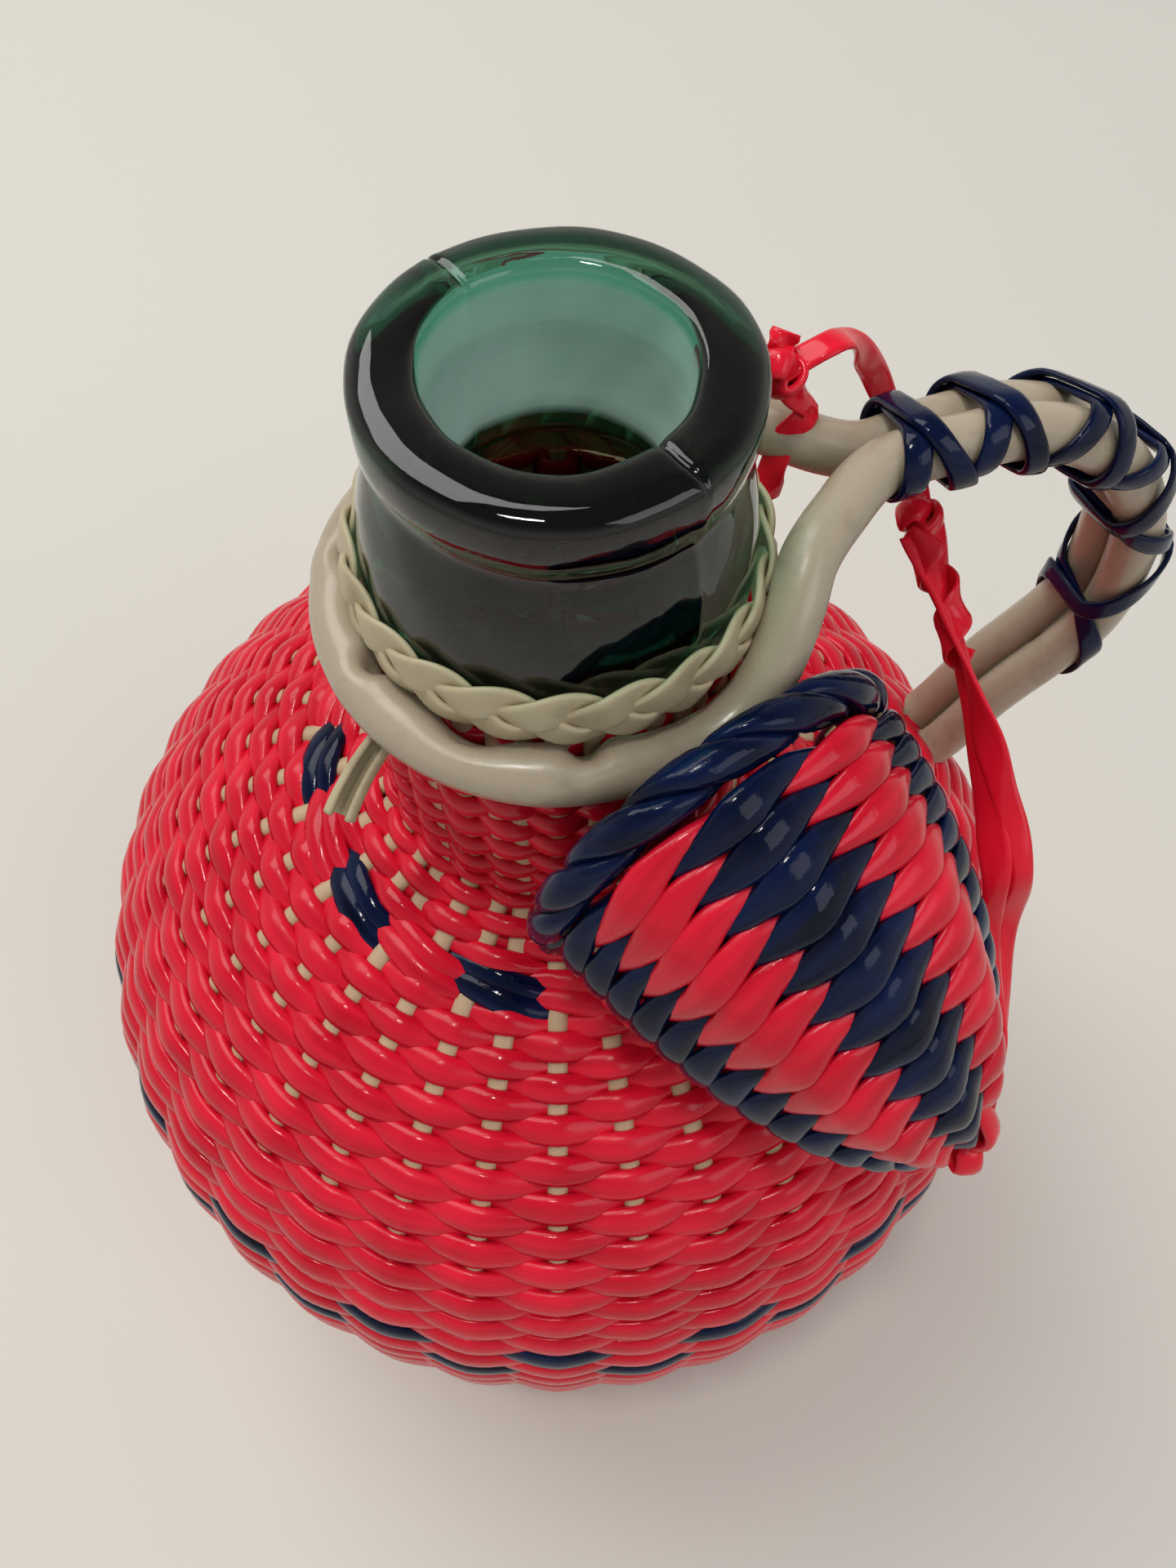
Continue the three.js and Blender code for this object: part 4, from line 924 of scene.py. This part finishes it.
jacket = {
    "stakes": 36, "stakeOut": 4.8, "stakeWide": 3.8, "stakeThick": 2.4, "stakeTop": 1.0, "stakeSlip": 2.0,
    "pairShift": 1.4, "pitch": 3.4, "neckPitch": 3.6, "sleeveTopZ": 237.5, "sleeveOut": 2.2, "sleeveRows": 3,
    "bellyRowZ": 128, "rowsBetween": 2, "endZ": 16.2, "splitSpots": 9, "splitStart": 0.15, "splitThick": 2.0,
    "wave": 1.3, "floatWide": 5.3, "diveWide": 4.7, "thick": 2.9, "crest": -0.4, "hand": 0.28,
    "lowWiden": 1.35, "steps": 8, "section": 10,
    "onNeck": {"crest": 0.3, "floatWide": 5.3, "diveWide": 4.4, "steps": 12},
    "onSleeve": {"wave": 1.0, "thick": 1.7, "floatWide": 4.4, "diveWide": 3.8, "crest": 0.3},
    "twined": {"shift": 0, "slant": 1.0, "floatWide": 5.2, "diveWide": 3.0, "wave": 1.5},
}
jacketLength = meridianAt[-1]


def onJacket(u, v):
    r, z = onGlass(np.clip(v, 0, 1) * jacketLength, jacket["stakeOut"])
    return polar(r, 360 * u, z)


jacketGuide = guideSurface("jacketGuide", onJacket, 144, 260, 0, 1)


def weave(name, guide, length, span, rows, columns, material, **changes):
    low, high = span
    pitch = (high - low) / rows
    s = {**jacket, "shift": 1, "start": 0, "slant": 0, "widen": 0, **changes}
    return baked(name, cordWeave, {
        "Guide": guide, "Guide Length": length * mm, "Rows": rows, "First Row": (low + pitch / 2) * mm,
        "Row Pitch": pitch * mm, "Columns": columns, "Steps": s["steps"], "Section": s["section"],
        "Row Shift": float(s["shift"]), "Start": float(s["start"]), "Wave": s["wave"] * mm,
        "Crest": s["crest"], "Float Width": s["floatWide"] * mm, "Dive Width": s["diveWide"] * mm,
        "Thickness": s["thick"] * mm, "Slant": s["slant"] * mm, "Widen": s["widen"] * mm,
        "Hand": s["hand"], "Seed": float(low), "Cord": material})


def makeJacket():
    pitch, between, more = jacket["pitch"], jacket["rowsBetween"], jacket["lowWiden"]
    heights = (jacket["sleeveTopZ"], shoulderZ, jacket["bellyRowZ"], jacket["endZ"])
    sleeveAt, splitAt, bellyAt, endAt = [lengthAtHeight(z) for z in heights]
    onGuide = (jacketGuide, jacketLength)
    columns = jacket["stakes"] * 2 // 3
    neck = (sleeveAt, splitAt - pitch)
    rows = round((neck[1] - neck[0]) / jacket["neckPitch"])
    made = weave("neckWeave", *onGuide, neck, rows, columns, redCord, **jacket["onNeck"])
    settle(made, "carafe", "red_cord", "neck_weave")

    def sleeve(u, v):
        return polar(bottle["neckR"] + jacket["sleeveOut"], 360 * u, bottle["neckTopZ"] - sleeveAt * v)

    under = guideSurface("sleeveGuide", sleeve, 144, 12, 0, 1)
    made = weave("sleeveTop", under, sleeveAt, (0.6, sleeveAt - 0.2), jacket["sleeveRows"], columns, redCord,
                 **jacket["onSleeve"])
    bpy.data.objects.remove(under)
    settle(made, "carafe", "red_cord")

    split, spots = (splitAt - pitch, splitAt + pitch), jacket["splitSpots"] * 2
    red = {**jacket["onNeck"], **jacket["twined"]}
    navy = {**red, "thick": jacket["splitThick"]}
    made = weave("splitRowsNavy", *onGuide, split, 2, spots, navyCord, start=1 + jacket["splitStart"], **navy)
    settle(made, "carafe", "navy_cord", "split_row_upper", "split_row_lower")
    made = weave("splitRowsRed", *onGuide, split, 2, spots, redCord, start=jacket["splitStart"], **red)
    settle(made, "carafe", "red_cord")

    at, number = splitAt + pitch, 0
    bands = [
        ("shoulderWeave", "shoulder_weave", bellyAt, redCord, "red_cord", 0),
        ("bellyRowUpper", "belly_row_upper", bellyAt + pitch, navyCord, "navy_cord", 1),
        ("bellyWeave", "belly_weave", bellyAt + pitch * (1 + between), redCord, "red_cord", 1),
        ("bellyRowLower", "belly_row_lower", bellyAt + pitch * (2 + between), navyCord, "navy_cord", 1),
        ("lowerWeave", "lower_weave", endAt, redCord, "red_cord", 1),
    ]
    for name, node, to, material, slot, below in bands:
        rows = round((to - at) / pitch)
        made = weave(name, *onGuide, (at, to), rows, jacket["stakes"], material, start=number % 2,
                     widen=0 if below else more / rows, floatWide=jacket["floatWide"] + more * below)
        settle(made, "carafe", slot, node)
        at, number = to, number + rows


def stakeTree():
    tree, given = newTree("stakesRound", {
        "Object": ["Path"], "Int": ["Count"], "Material": ["Tube"],
        "Float": ["Width", "Thickness", "Pair Shift", "Shift From", "Shift To"]})
    path = addNode(tree, "GeometryNodeObjectInfo", {"Object": given["Path"]}).outputs["Geometry"]
    edge = addNode(tree, "GeometryNodeCurvePrimitiveCircle", {"Resolution": 12, "Radius": 0.5})
    size = addNode(tree, "ShaderNodeCombineXYZ", {0: given["Thickness"], 1: given["Width"], 2: 1.0})
    edge = addNode(tree, "GeometryNodeTransform", {"Geometry": edge, "Scale": size})
    tube = addNode(tree, "GeometryNodeCurveToMesh", {"Curve": path, "Profile Curve": edge, "Fill Caps": True})
    line = addNode(tree, "GeometryNodeMeshLine", {"Count": given["Count"], "Offset": (0, 0, 0)})
    index = addNode(tree, "GeometryNodeInputIndex")
    step = addNode(tree, "ShaderNodeMath", {0: 2 * math.pi, 1: given["Count"]}, operation="DIVIDE")
    turn = addNode(tree, "ShaderNodeMath", {0: index, 1: step}, operation="MULTIPLY")
    turn = addNode(tree, "ShaderNodeCombineXYZ", {2: turn})
    stakes = addNode(tree, "GeometryNodeInstanceOnPoints", {
        "Points": line, "Instance": tube, "Rotation": turn})
    stakes = addNode(tree, "GeometryNodeStoreNamedAttribute", {
        "Geometry": stakes, "Name": "row", "Value": index}, domain="INSTANCE")
    stakes = addNode(tree, "GeometryNodeRealizeInstances", {"Geometry": stakes})
    # of each three stakes the second and third close up into a pair on the neck
    row = addNode(tree, "GeometryNodeInputNamedAttribute", {"Name": "row"})
    third = addNode(tree, "ShaderNodeMath", {0: row, 1: 3.0}, operation="MODULO")
    third = addNode(tree, "ShaderNodeMath", {0: third, 1: 2 * math.pi / 3}, operation="MULTIPLY")
    side = addNode(tree, "ShaderNodeMath", {0: third}, operation="SINE")
    position = addNode(tree, "GeometryNodeInputPosition")
    height = addNode(tree, "ShaderNodeSeparateXYZ", {0: position}).outputs["Z"]
    close = addNode(tree, "ShaderNodeMapRange", {
        "Value": height, "From Min": given["Shift From"], "From Max": given["Shift To"]},
        interpolation_type="SMOOTHSTEP")
    by = addNode(tree, "ShaderNodeMath", {0: side, 1: close}, operation="MULTIPLY")
    by = addNode(tree, "ShaderNodeMath", {0: by, 1: given["Pair Shift"]}, operation="MULTIPLY")
    moved = addNode(tree, "ShaderNodeVectorRotate", {"Vector": position, "Angle": by},
                    rotation_type="Z_AXIS")
    stakes = addNode(tree, "GeometryNodeSetPosition", {"Geometry": stakes, "Position": moved})
    stakes = addNode(tree, "GeometryNodeSetMaterial", {"Geometry": stakes, "Material": given["Tube"]})
    addNode(tree, "NodeGroupOutput", {"Geometry": stakes})
    return tree


def makeStakes():
    sleeveAt, endAt = lengthAtHeight(jacket["sleeveTopZ"]), lengthAtHeight(jacket["endZ"])
    lengths = np.r_[np.linspace(jacket["stakeTop"], sleeveAt + 6, 10),
                    np.linspace(sleeveAt + 9, endAt - 1, 110)]
    slipped = np.clip((sleeveAt + 5 - lengths) / 6, 0, 1)  # against the glass behind the tube's loop
    r, z = onGlass(lengths, jacket["stakeOut"] - jacket["stakeSlip"] * slipped)
    curve = bpy.data.curves.new("stakePath", "CURVE")
    curve.dimensions = "3D"
    spline = curve.splines.new("POLY")
    spline.points.add(len(r) - 1)
    for point, x, h in zip(spline.points, r, z):
        point.co = (x * mm, 0, h * mm, 1)
    path = bpy.data.objects.new("stakePath", curve)
    bpy.context.scene.collection.objects.link(path)
    made = baked("stakes", stakeTree(), {
        "Path": path, "Count": jacket["stakes"], "Width": jacket["stakeWide"] * mm,
        "Thickness": jacket["stakeThick"] * mm, "Tube": stakeTube,
        "Pair Shift": math.radians(jacket["pairShift"]) / math.sin(2 * math.pi / 3),
        "Shift From": (shoulderZ - 4) * mm, "Shift To": (neckFootZ + 2) * mm})
    bpy.data.objects.remove(path)
    settle(made, "carafe", "stake_tube", *["stake_%02d" % (k + 1) for k in range(jacket["stakes"])])


makeJacket()
makeStakes()
bpy.data.objects.remove(jacketGuide)
print("jacket woven")


# Foot border and base, under the jacket and out of the photo's sight

foot = {
    "radius": 68, "z": 4.8, "strandD": 4.8, "strandFlat": 1.1, "outSwing": 4.2, "upSwing": 2.4,
    "strands": 3, "turns": 19, "baseFrom": 5, "baseTo": 60, "baseZ": 3, "baseRows": 15, "baseColumns": 18,
    "base": {"wave": 1.4, "thick": 2.0, "floatWide": 4.6, "diveWide": 3.0},
    "spokeFrom": 3, "spokeWide": 2.6, "spokeThick": 1.6,
}


# Strands laid round a line, each turning about it
def rope(name, line, outs, strands, swings, section, turns, material, closed):
    way = tangents(line, closed)
    outs = unit(outs - way * np.sum(outs * way, axis=1, keepdims=True))
    sides = np.cross(way, outs)
    share = np.linspace(0, 1, len(line), endpoint=not closed)[:, None]
    made = []
    for k in range(strands):
        turn = 2 * math.pi * (turns * share + k / strands)
        away = outs * np.cos(turn) * swings[0] + sides * np.sin(turn) * swings[1]
        made.append(sweep(name, line + away, away, section, material, closed, k))
    return joined(name, made)


def makeFoot():
    degrees = np.linspace(0, 360, 480, endpoint=False)
    line = polar(foot["radius"], degrees, foot["z"])
    section = oval(foot["strandD"] * foot["strandFlat"], foot["strandD"], 10)
    swings = (foot["outSwing"], foot["upSwing"])
    made = rope("footBorder", line, polar(1, degrees, 0), foot["strands"], swings, section, foot["turns"],
                redCord, True)
    settle(made, "carafe", "red_cord", "foot_border")
    span = foot["baseTo"] - foot["baseFrom"]

    def disc(u, v):
        return polar(foot["baseFrom"] + span * v, -360 * u, foot["baseZ"])

    guide = guideSurface("baseGuide", disc, 96, 60)
    made = weave("baseDisc", guide, span, (0, span), foot["baseRows"], foot["baseColumns"], redCord,
                 **foot["base"])
    bpy.data.objects.remove(guide)
    settle(made, "carafe", "red_cord", "base_disc")
    spokes = []
    section = oval(foot["spokeWide"], foot["spokeThick"], 8)
    for degrees in np.arange(foot["baseColumns"]) * 360 / foot["baseColumns"]:
        line = polar(np.linspace(foot["spokeFrom"], foot["baseTo"], 12), degrees, foot["baseZ"])
        spokes.append(sweep("spoke", line, np.tile(upright, (12, 1)), section, stakeTube))
    settle(joined("baseStakes", spokes), "carafe", "stake_tube")


makeFoot()
print("foot laid")


# Plaited collar and its loose end

plait = {
    "z": 251.4, "radius": 30.2, "strips": 3, "repeats": 7, "swing": 2.9, "depth": 0.75, "lean": 0.25,
    "wide": 5.4, "thick": 1.2, "foldWide": 0.55, "foldDeep": 0.3,
    "tailAzimuth": 222, "tailTurn": 3, "tailDroop": 1.6, "tailLean": 0.3, "tailFrom": (31.5, 237.2),
    "tailTo": (46.0, 228.4), "tailWide": 4.2, "tailTall": 3.4, "tailWall": 0.9, "tailArc": (118, 422),
    "tailPinch": 0.25,
}


def makePlait():
    a = np.linspace(0, 2 * math.pi, 420, endpoint=False)
    strips = []
    for k in range(plait["strips"]):
        t = plait["repeats"] * a + 2 * math.pi * k / plait["strips"]
        radius = plait["radius"] + plait["depth"] * np.sin(2 * t)
        line = polar(radius, np.degrees(a), plait["z"] + plait["swing"] * np.sin(t))
        outs = polar(1, np.degrees(a), 0) + upright * plait["lean"] * np.sin(t)[:, None]
        section = oval(plait["wide"], plait["thick"], 14, 0.55)
        # each strip is a tube pressed flat
        fold = np.exp(-(section[:, 0] / plait["foldWide"]) ** 2) * np.sign(section[:, 1]) * plait["foldDeep"]
        section[:, 1] -= fold
        strips.append(sweep("strip", line, outs, section, creamStrip, True, k))
    settle(joined("neckBraid", strips), "carafe", "cream_strip", "neck_braid")


# A split tube, so its section goes round outside and comes back inside
def makeTail():
    (r0, z0), (r1, z1) = plait["tailFrom"], plait["tailTo"]
    share = np.linspace(0, 1, 30)
    height = z0 + (z1 - z0) * share + plait["tailDroop"] * share * (1 - share)
    degrees = plait["tailAzimuth"] + plait["tailTurn"] * share**2
    line = polar(r0 + (r1 - r0) * share, degrees, height)
    outs = np.tile(upright, (30, 1)) + polar(1, plait["tailAzimuth"] + 90, 0) * plait["tailLean"]
    wall = plait["tailWall"] / 2
    a = np.radians(np.linspace(*plait["tailArc"], 22))
    arc = np.stack([np.sign(np.cos(a)) * np.abs(np.cos(a)) ** 0.8, np.sin(a)], axis=1)
    half = np.array([plait["tailWide"] / 2, plait["tailTall"] / 2])
    shape = np.vstack([arc * (half + wall), (arc * (half - wall))[::-1]])
    pinch = 1 - plait["tailPinch"] * (1 - share)
    section = shape[None] * pinch[:, None, None]
    settle(sweep("braidTail", line, outs, section, creamStrip), "carafe", "cream_strip", "braid_tail")


makePlait()
makeTail()
print("collar plaited")


# Handle: one hose looped round the neck, its two legs lashed together

def handleRun():
    reach, (bendOut, bendUp) = handle["reach"], handle["bend"]
    footR, footZ = onGlass(lengthAtHeight(handle["footZ"]), handle["footOut"])
    run = [(reach * a, handle["ringZ"] + handle["rise"] * b) for a, b in handle["arch"]]
    return run + [(footR + reach * bendOut, footZ + bendUp), (footR, footZ)]


def makeHose():
    run = handleRun()
    z, side, ringR = handle["ringZ"], handle["legSide"], handle["ringR"]
    (r1, z1), (r2, z2) = run[-2:]
    way = np.array([r2 - r1, z2 - z1]) / math.hypot(r2 - r1, z2 - z1)
    end = (r2 + way[0] * handle["tuck"] - handle["tuckIn"], z2 + way[1] * handle["tuck"])
    legs = []
    for (r, h), degrees in zip(run + [end], handle["pairTurn"]):
        turn = math.radians(degrees)
        legs.append((r, h, side * math.cos(turn), side * math.sin(turn)))

    def beside(way):
        return [polar(handle["besideR"] + out, handle["azimuth"] + turn, z + handle["rise"] * up)
                for out, turn, up in way]

    points = [inHandle(r, -aside, h + up) for r, h, aside, up in reversed(legs)]
    points += beside(handle["frontWay"])
    points += [polar(ringR, handle["azimuth"] + turn, z) for turn in range(*handle["loop"])]
    points += beside(handle["backWay"])
    points += [inHandle(r, aside, h - up) for r, h, aside, up in legs]
    line = throughPoints(points, 640)
    outs = carried(line, upright)
    across = np.cross(tangents(line), outs)
    section = np.tile(oval(handle["tubeD"], handle["tubeD"], 20), (len(line), 1, 1))
    # kinks of the loop, pressed in from inside and above, with a low lip to either side
    around = unit(section[0])
    azimuth = np.degrees(np.arctan2(line[:, 1], line[:, 0])) % 360
    onRing = (np.hypot(line[:, 0], line[:, 1]) < ringR + 2.5) & (np.abs(line[:, 2] - z) < 4)
    inward = -unit(line * [1, 1, 0]) * 0.8 + upright * 0.6
    dent = np.stack([np.sum(inward * across, axis=1), np.sum(inward * outs, axis=1)], axis=1)
    facing = np.clip(dent @ around.T, -1, 1)
    for at, deep, half in handle["kinks"]:
        along = np.radians((azimuth - at + 180) % 360 - 180) * ringR
        strength = deep * np.exp(-(along / half) ** 2) * onRing
        lips = 0.22 * deep * np.exp(-((np.abs(along) - 1.9 * half) / half) ** 2) * onRing
        push = np.clip(facing, 0, 1) ** 2.2 * (strength - lips)[:, None]
        spread = (1 - facing**2) * 0.12 * strength[:, None]
        section = section + around[None] * (spread - push)[..., None]
    hose = sweep("handleTube", line, outs, section, handleHose)
    settle(hose, "carafe", "greige_tube", "handle_tube")


def makeLashing():
    count = 900
    run = throughPoints([inHandle(r, 0, h) for r, h in handleRun()], count)
    marks = throughPoints([(k, at, 0) for k, at in enumerate(handle["lashAt"])], 400)
    half = (len(handle["lashAt"]) - 1) / 2
    turns = np.linspace(0, 2 * half, int(2 * half * handle["lashSteps"]) + 1)
    share = np.interp(2 * (half - np.abs(turns - half)), marks[:, 0], marks[:, 1])
    # on its way back the strip goes over its first pass where they cross
    crossing = np.abs(turns - half) * 2
    off = np.abs(crossing - np.round(crossing)) * 2
    isOver = (turns > half) & (np.round(crossing) > 0)
    lift = np.where(isOver, np.clip(1.75 - 2.5 * off, 0, 1), 0)
    lift = np.convolve(np.pad(lift, 4, mode="edge"), np.ones(9) / 9, mode="valid")
    angle = (2 * math.pi * turns + math.pi / 2)[:, None]
    at = share * (count - 1)
    centre, way = [np.stack([np.interp(at, np.arange(count), v[:, k]) for k in range(3)], axis=1)
                   for v in (run, tangents(run))]
    normal = np.cross(sideways, way)
    places = np.linspace(0, 1, len(handle["pairTurn"]) - 1)
    turn = np.radians(np.interp(share, places, handle["pairTurn"][:-1]))[:, None]
    across = sideways * np.cos(turn) + normal * np.sin(turn)
    normal = normal * np.cos(turn) - sideways * np.sin(turn)
    out = across * np.cos(angle) + normal * np.sin(angle)
    line = centre + across * handle["legSide"] * np.tanh(8 * np.cos(angle))
    line = line + out * (handle["lashOut"] + handle["lashLift"] * lift)[:, None]
    swell = 1 + 0.1 * np.sin(5.3 * turns) + 0.07 * np.sin(11.9 * turns + 1)
    size = np.stack([handle["lashWide"] * swell, handle["lashThick"] / swell], axis=1)[:, None]
    strip = sweep("handleLashing", line, out, oval(1, 1, 12, 0.65)[None] * size, navyCord)
    settle(strip, "carafe", "navy_cord", "handle_lashing")


makeHose()
makeLashing()
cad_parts["handle_core_wire"].data.materials[0] = steelWire
print("handle lashed")


# A small pulled-tight knot
def knot(name, centre, size, axis, section, material):
    t = np.linspace(0, 2 * math.pi, 120, endpoint=False)
    shape = [np.sin(t) + 2 * np.sin(2 * t), np.cos(t) - 2 * np.cos(2 * t), -1.5 * np.sin(3 * t)]
    shape = np.stack(shape, axis=1) / 3
    axis = unit(np.asarray(axis, float))
    first = unit(np.cross(axis, [0.3, 0.9, 0.2]))
    line = centre + size * (shape @ np.stack([first, np.cross(axis, first), axis]))
    return sweep(name, line, line - centre + axis * 0.01, section, material, True)


# Hitch: the strip's other end, over the handle to the neck, with its knots.
# Places are reach, side and height along the handle's own directions

hitch = {
    "wide": 4.4, "thick": 1.1, "twist": 0.5, "hangReach": 59.8, "tied": (33.6, 7.3, 269.2),
    "knotWide": 4.2, "knotSize": 3.2, "knotThick": 1.4, "hangSize": 3.0, "hangThick": 1.6,
    "fromKnot": [(0, 3.8, 3.8), (-1, 12, 7.8), (-5, 15, 15.6)],  # from the hanging knot
    "over": [(50.6, 13.2, 262), (45.8, 10.6, 268.6), (42.6, 8.8, 271.2), (40.4, 8.0, 271.4),
             (37, 7.7, 270.2)],
    "round": [(36.6, 7.0, 264.6), (39.0, 6.4, 261.2), (38.0, 5.6, 260.4), (35.8, 5.4, 257.4),
              (34.4, 4.8, 252), (34.2, 3.6, 247)],
    "loose": [(33.9, 9.0, 271.2), (35.0, 10.2, 273.2)],
}


# Flat side to the front and up, as the strip was pulled
def facing(line, twist):
    outs = np.tile(unit(np.array([0.1, -0.5, 0.85])), (len(line), 1))
    turn = np.asarray(twist)[:, None]
    return outs * np.cos(turn) + unit(np.cross(tangents(line), outs)) * np.sin(turn)


def makeHitch():
    tied = inHandle(*hitch["tied"])
    rising = [inHandle(hitch["hangReach"] + out, side, hangAt[2] + up) for out, side, up in hitch["fromKnot"]]
    over, round_, loose = [[inHandle(*spot) for spot in hitch[name]] for name in ("over", "round", "loose")]
    strips = [([hangAt, *rising, *over, tied], 120), ([tied, *round_], 60), ([tied, *loose], 20)]
    section = oval(hitch["wide"], hitch["thick"], 12, 0.65)
    pieces = []
    for k, (points, count) in enumerate(strips):
        line = throughPoints(points, count)
        twist = hitch["twist"] * np.sin(9 * np.linspace(0, 1, count) + k)
        pieces.append(sweep("strip", line, facing(line, twist), section, redStrip, strand=k))
    section = oval(hitch["knotWide"], hitch["knotThick"], 10, 0.7)
    pieces.append(knot("strip", tied, hitch["knotSize"], upright + outward, section, redStrip))
    settle(joined("tetherHitch", pieces), "carafe", "red_cord", "tether_hitch")
    section = oval(hitch["knotWide"], hitch["hangThick"], 10, 0.7)
    tight = knot("tetherKnot", hangAt, hitch["hangSize"], [0.3, 0.5, 1], section, redStrip)
    settle(tight, "carafe", "red_cord", "tether_knot")


makeHitch()
print("hitch tied")


# Cap: twined rows of red and navy, so that the columns come out in turn red and navy

def onCap(share, degrees, inset):
    share, a = np.broadcast_arrays(np.asarray(share, float), np.radians(degrees))
    share, a = share[..., None], a[..., None]
    turned = np.clip((share - cap["mouthAt"]) * cap["turnRate"], 0, 1)
    up = unit(mouthUp + (tipUp - mouthUp) * turned)
    side = unit(mouthSide + (tipSide - mouthSide) * turned)
    narrow = (1 - share**2) ** cap["blunt"]
    wide, tall = cap["halfWide"] * narrow - inset, cap["halfTall"] * narrow - inset
    return capCentre + capAxis * cap["length"] * share + side * wide * np.cos(a) + up * tall * np.sin(a)


def makeCap():
    middle = cap["wall"] / 2

    def place(u, v):
        share = cap["weaveFrom"] + cap["weaveSpan"] * ((1 - cap["crowd"]) * v + cap["crowd"] * v**2)
        return onCap(np.clip(share, 0, cap["weaveEnd"]), 90 - 360 * u, middle)

    guide = guideSurface("capGuide", place, 120, 80)
    length = cap["length"] * cap["woven"]
    made = weave("capWeaveNavy", guide, length, (0, length), cap["rows"], cap["columns"], navyCord,
                 start=cap["turned"], **cap["twined"])
    settle(made, "cap", "navy_cord", "cap_weave")
    made = weave("capWeaveRed", guide, length, (0, length), cap["rows"], cap["columns"], redCord,
                 start=1 + cap["turned"], **cap["twined"])
    settle(made, "cap", "red_cord")
    bpy.data.objects.remove(guide)
    stakes = []
    shares = np.linspace(cap["weaveFrom"], cap["stakeEnd"], 40)
    section = oval(cap["stakeWide"], cap["stakeThick"], 8)
    for k in range(cap["columns"]):
        degrees = 90 - 360 * (k - cap["turned"]) / cap["columns"]
        line = onCap(shares, degrees, middle)
        outs = line - onCap(shares, degrees, middle + 5)
        stakes.append(sweep("stake", line, outs, section, stakeTube))
    settle(joined("capStakes", stakes), "cap", "stake_tube")
    degrees = np.linspace(0, 360, 400, endpoint=False)
    forward = mouthAway * (cap["rimD"] / 2 + cap["rimGap"])
    line = onCap(cap["mouthAt"], degrees, middle) - forward
    outs = line - onCap(cap["mouthAt"], degrees, middle + 5) + forward
    section = oval(cap["rimWide"], cap["rimThick"], 12)
    swings = (cap["rimSwing"], cap["rimSwing"])
    made = rope("capRim", line, outs, 2, swings, section, cap["rimTurns"], navyCord, True)
    settle(made, "cap", "navy_cord", "cap_rim")


def makeTip():
    section = oval(cap["knotWide"], cap["tipThick"], 10, 0.75)
    pieces = [knot("strip", tipAt, cap["knotSize"], capAxis, section, redStrip)]
    section = oval(cap["tipWide"], cap["tipThick"], 10, 0.75)
    for degrees, bulge in cap["tipStrips"]:
        start = onCap(0.86, degrees, cap["wall"] / 2)
        mid = onCap(0.95, degrees, -bulge) + capAxis * 2
        line = throughPoints([start, mid, tipAt - capAxis], 30)
        pieces.append(sweep("strip", line, carried(line, capAxis), section, redStrip))
    settle(joined("capTipKnot", pieces), "cap", "red_cord", "cap_tip_knot")


makeCap()
makeTip()
print("cap woven")
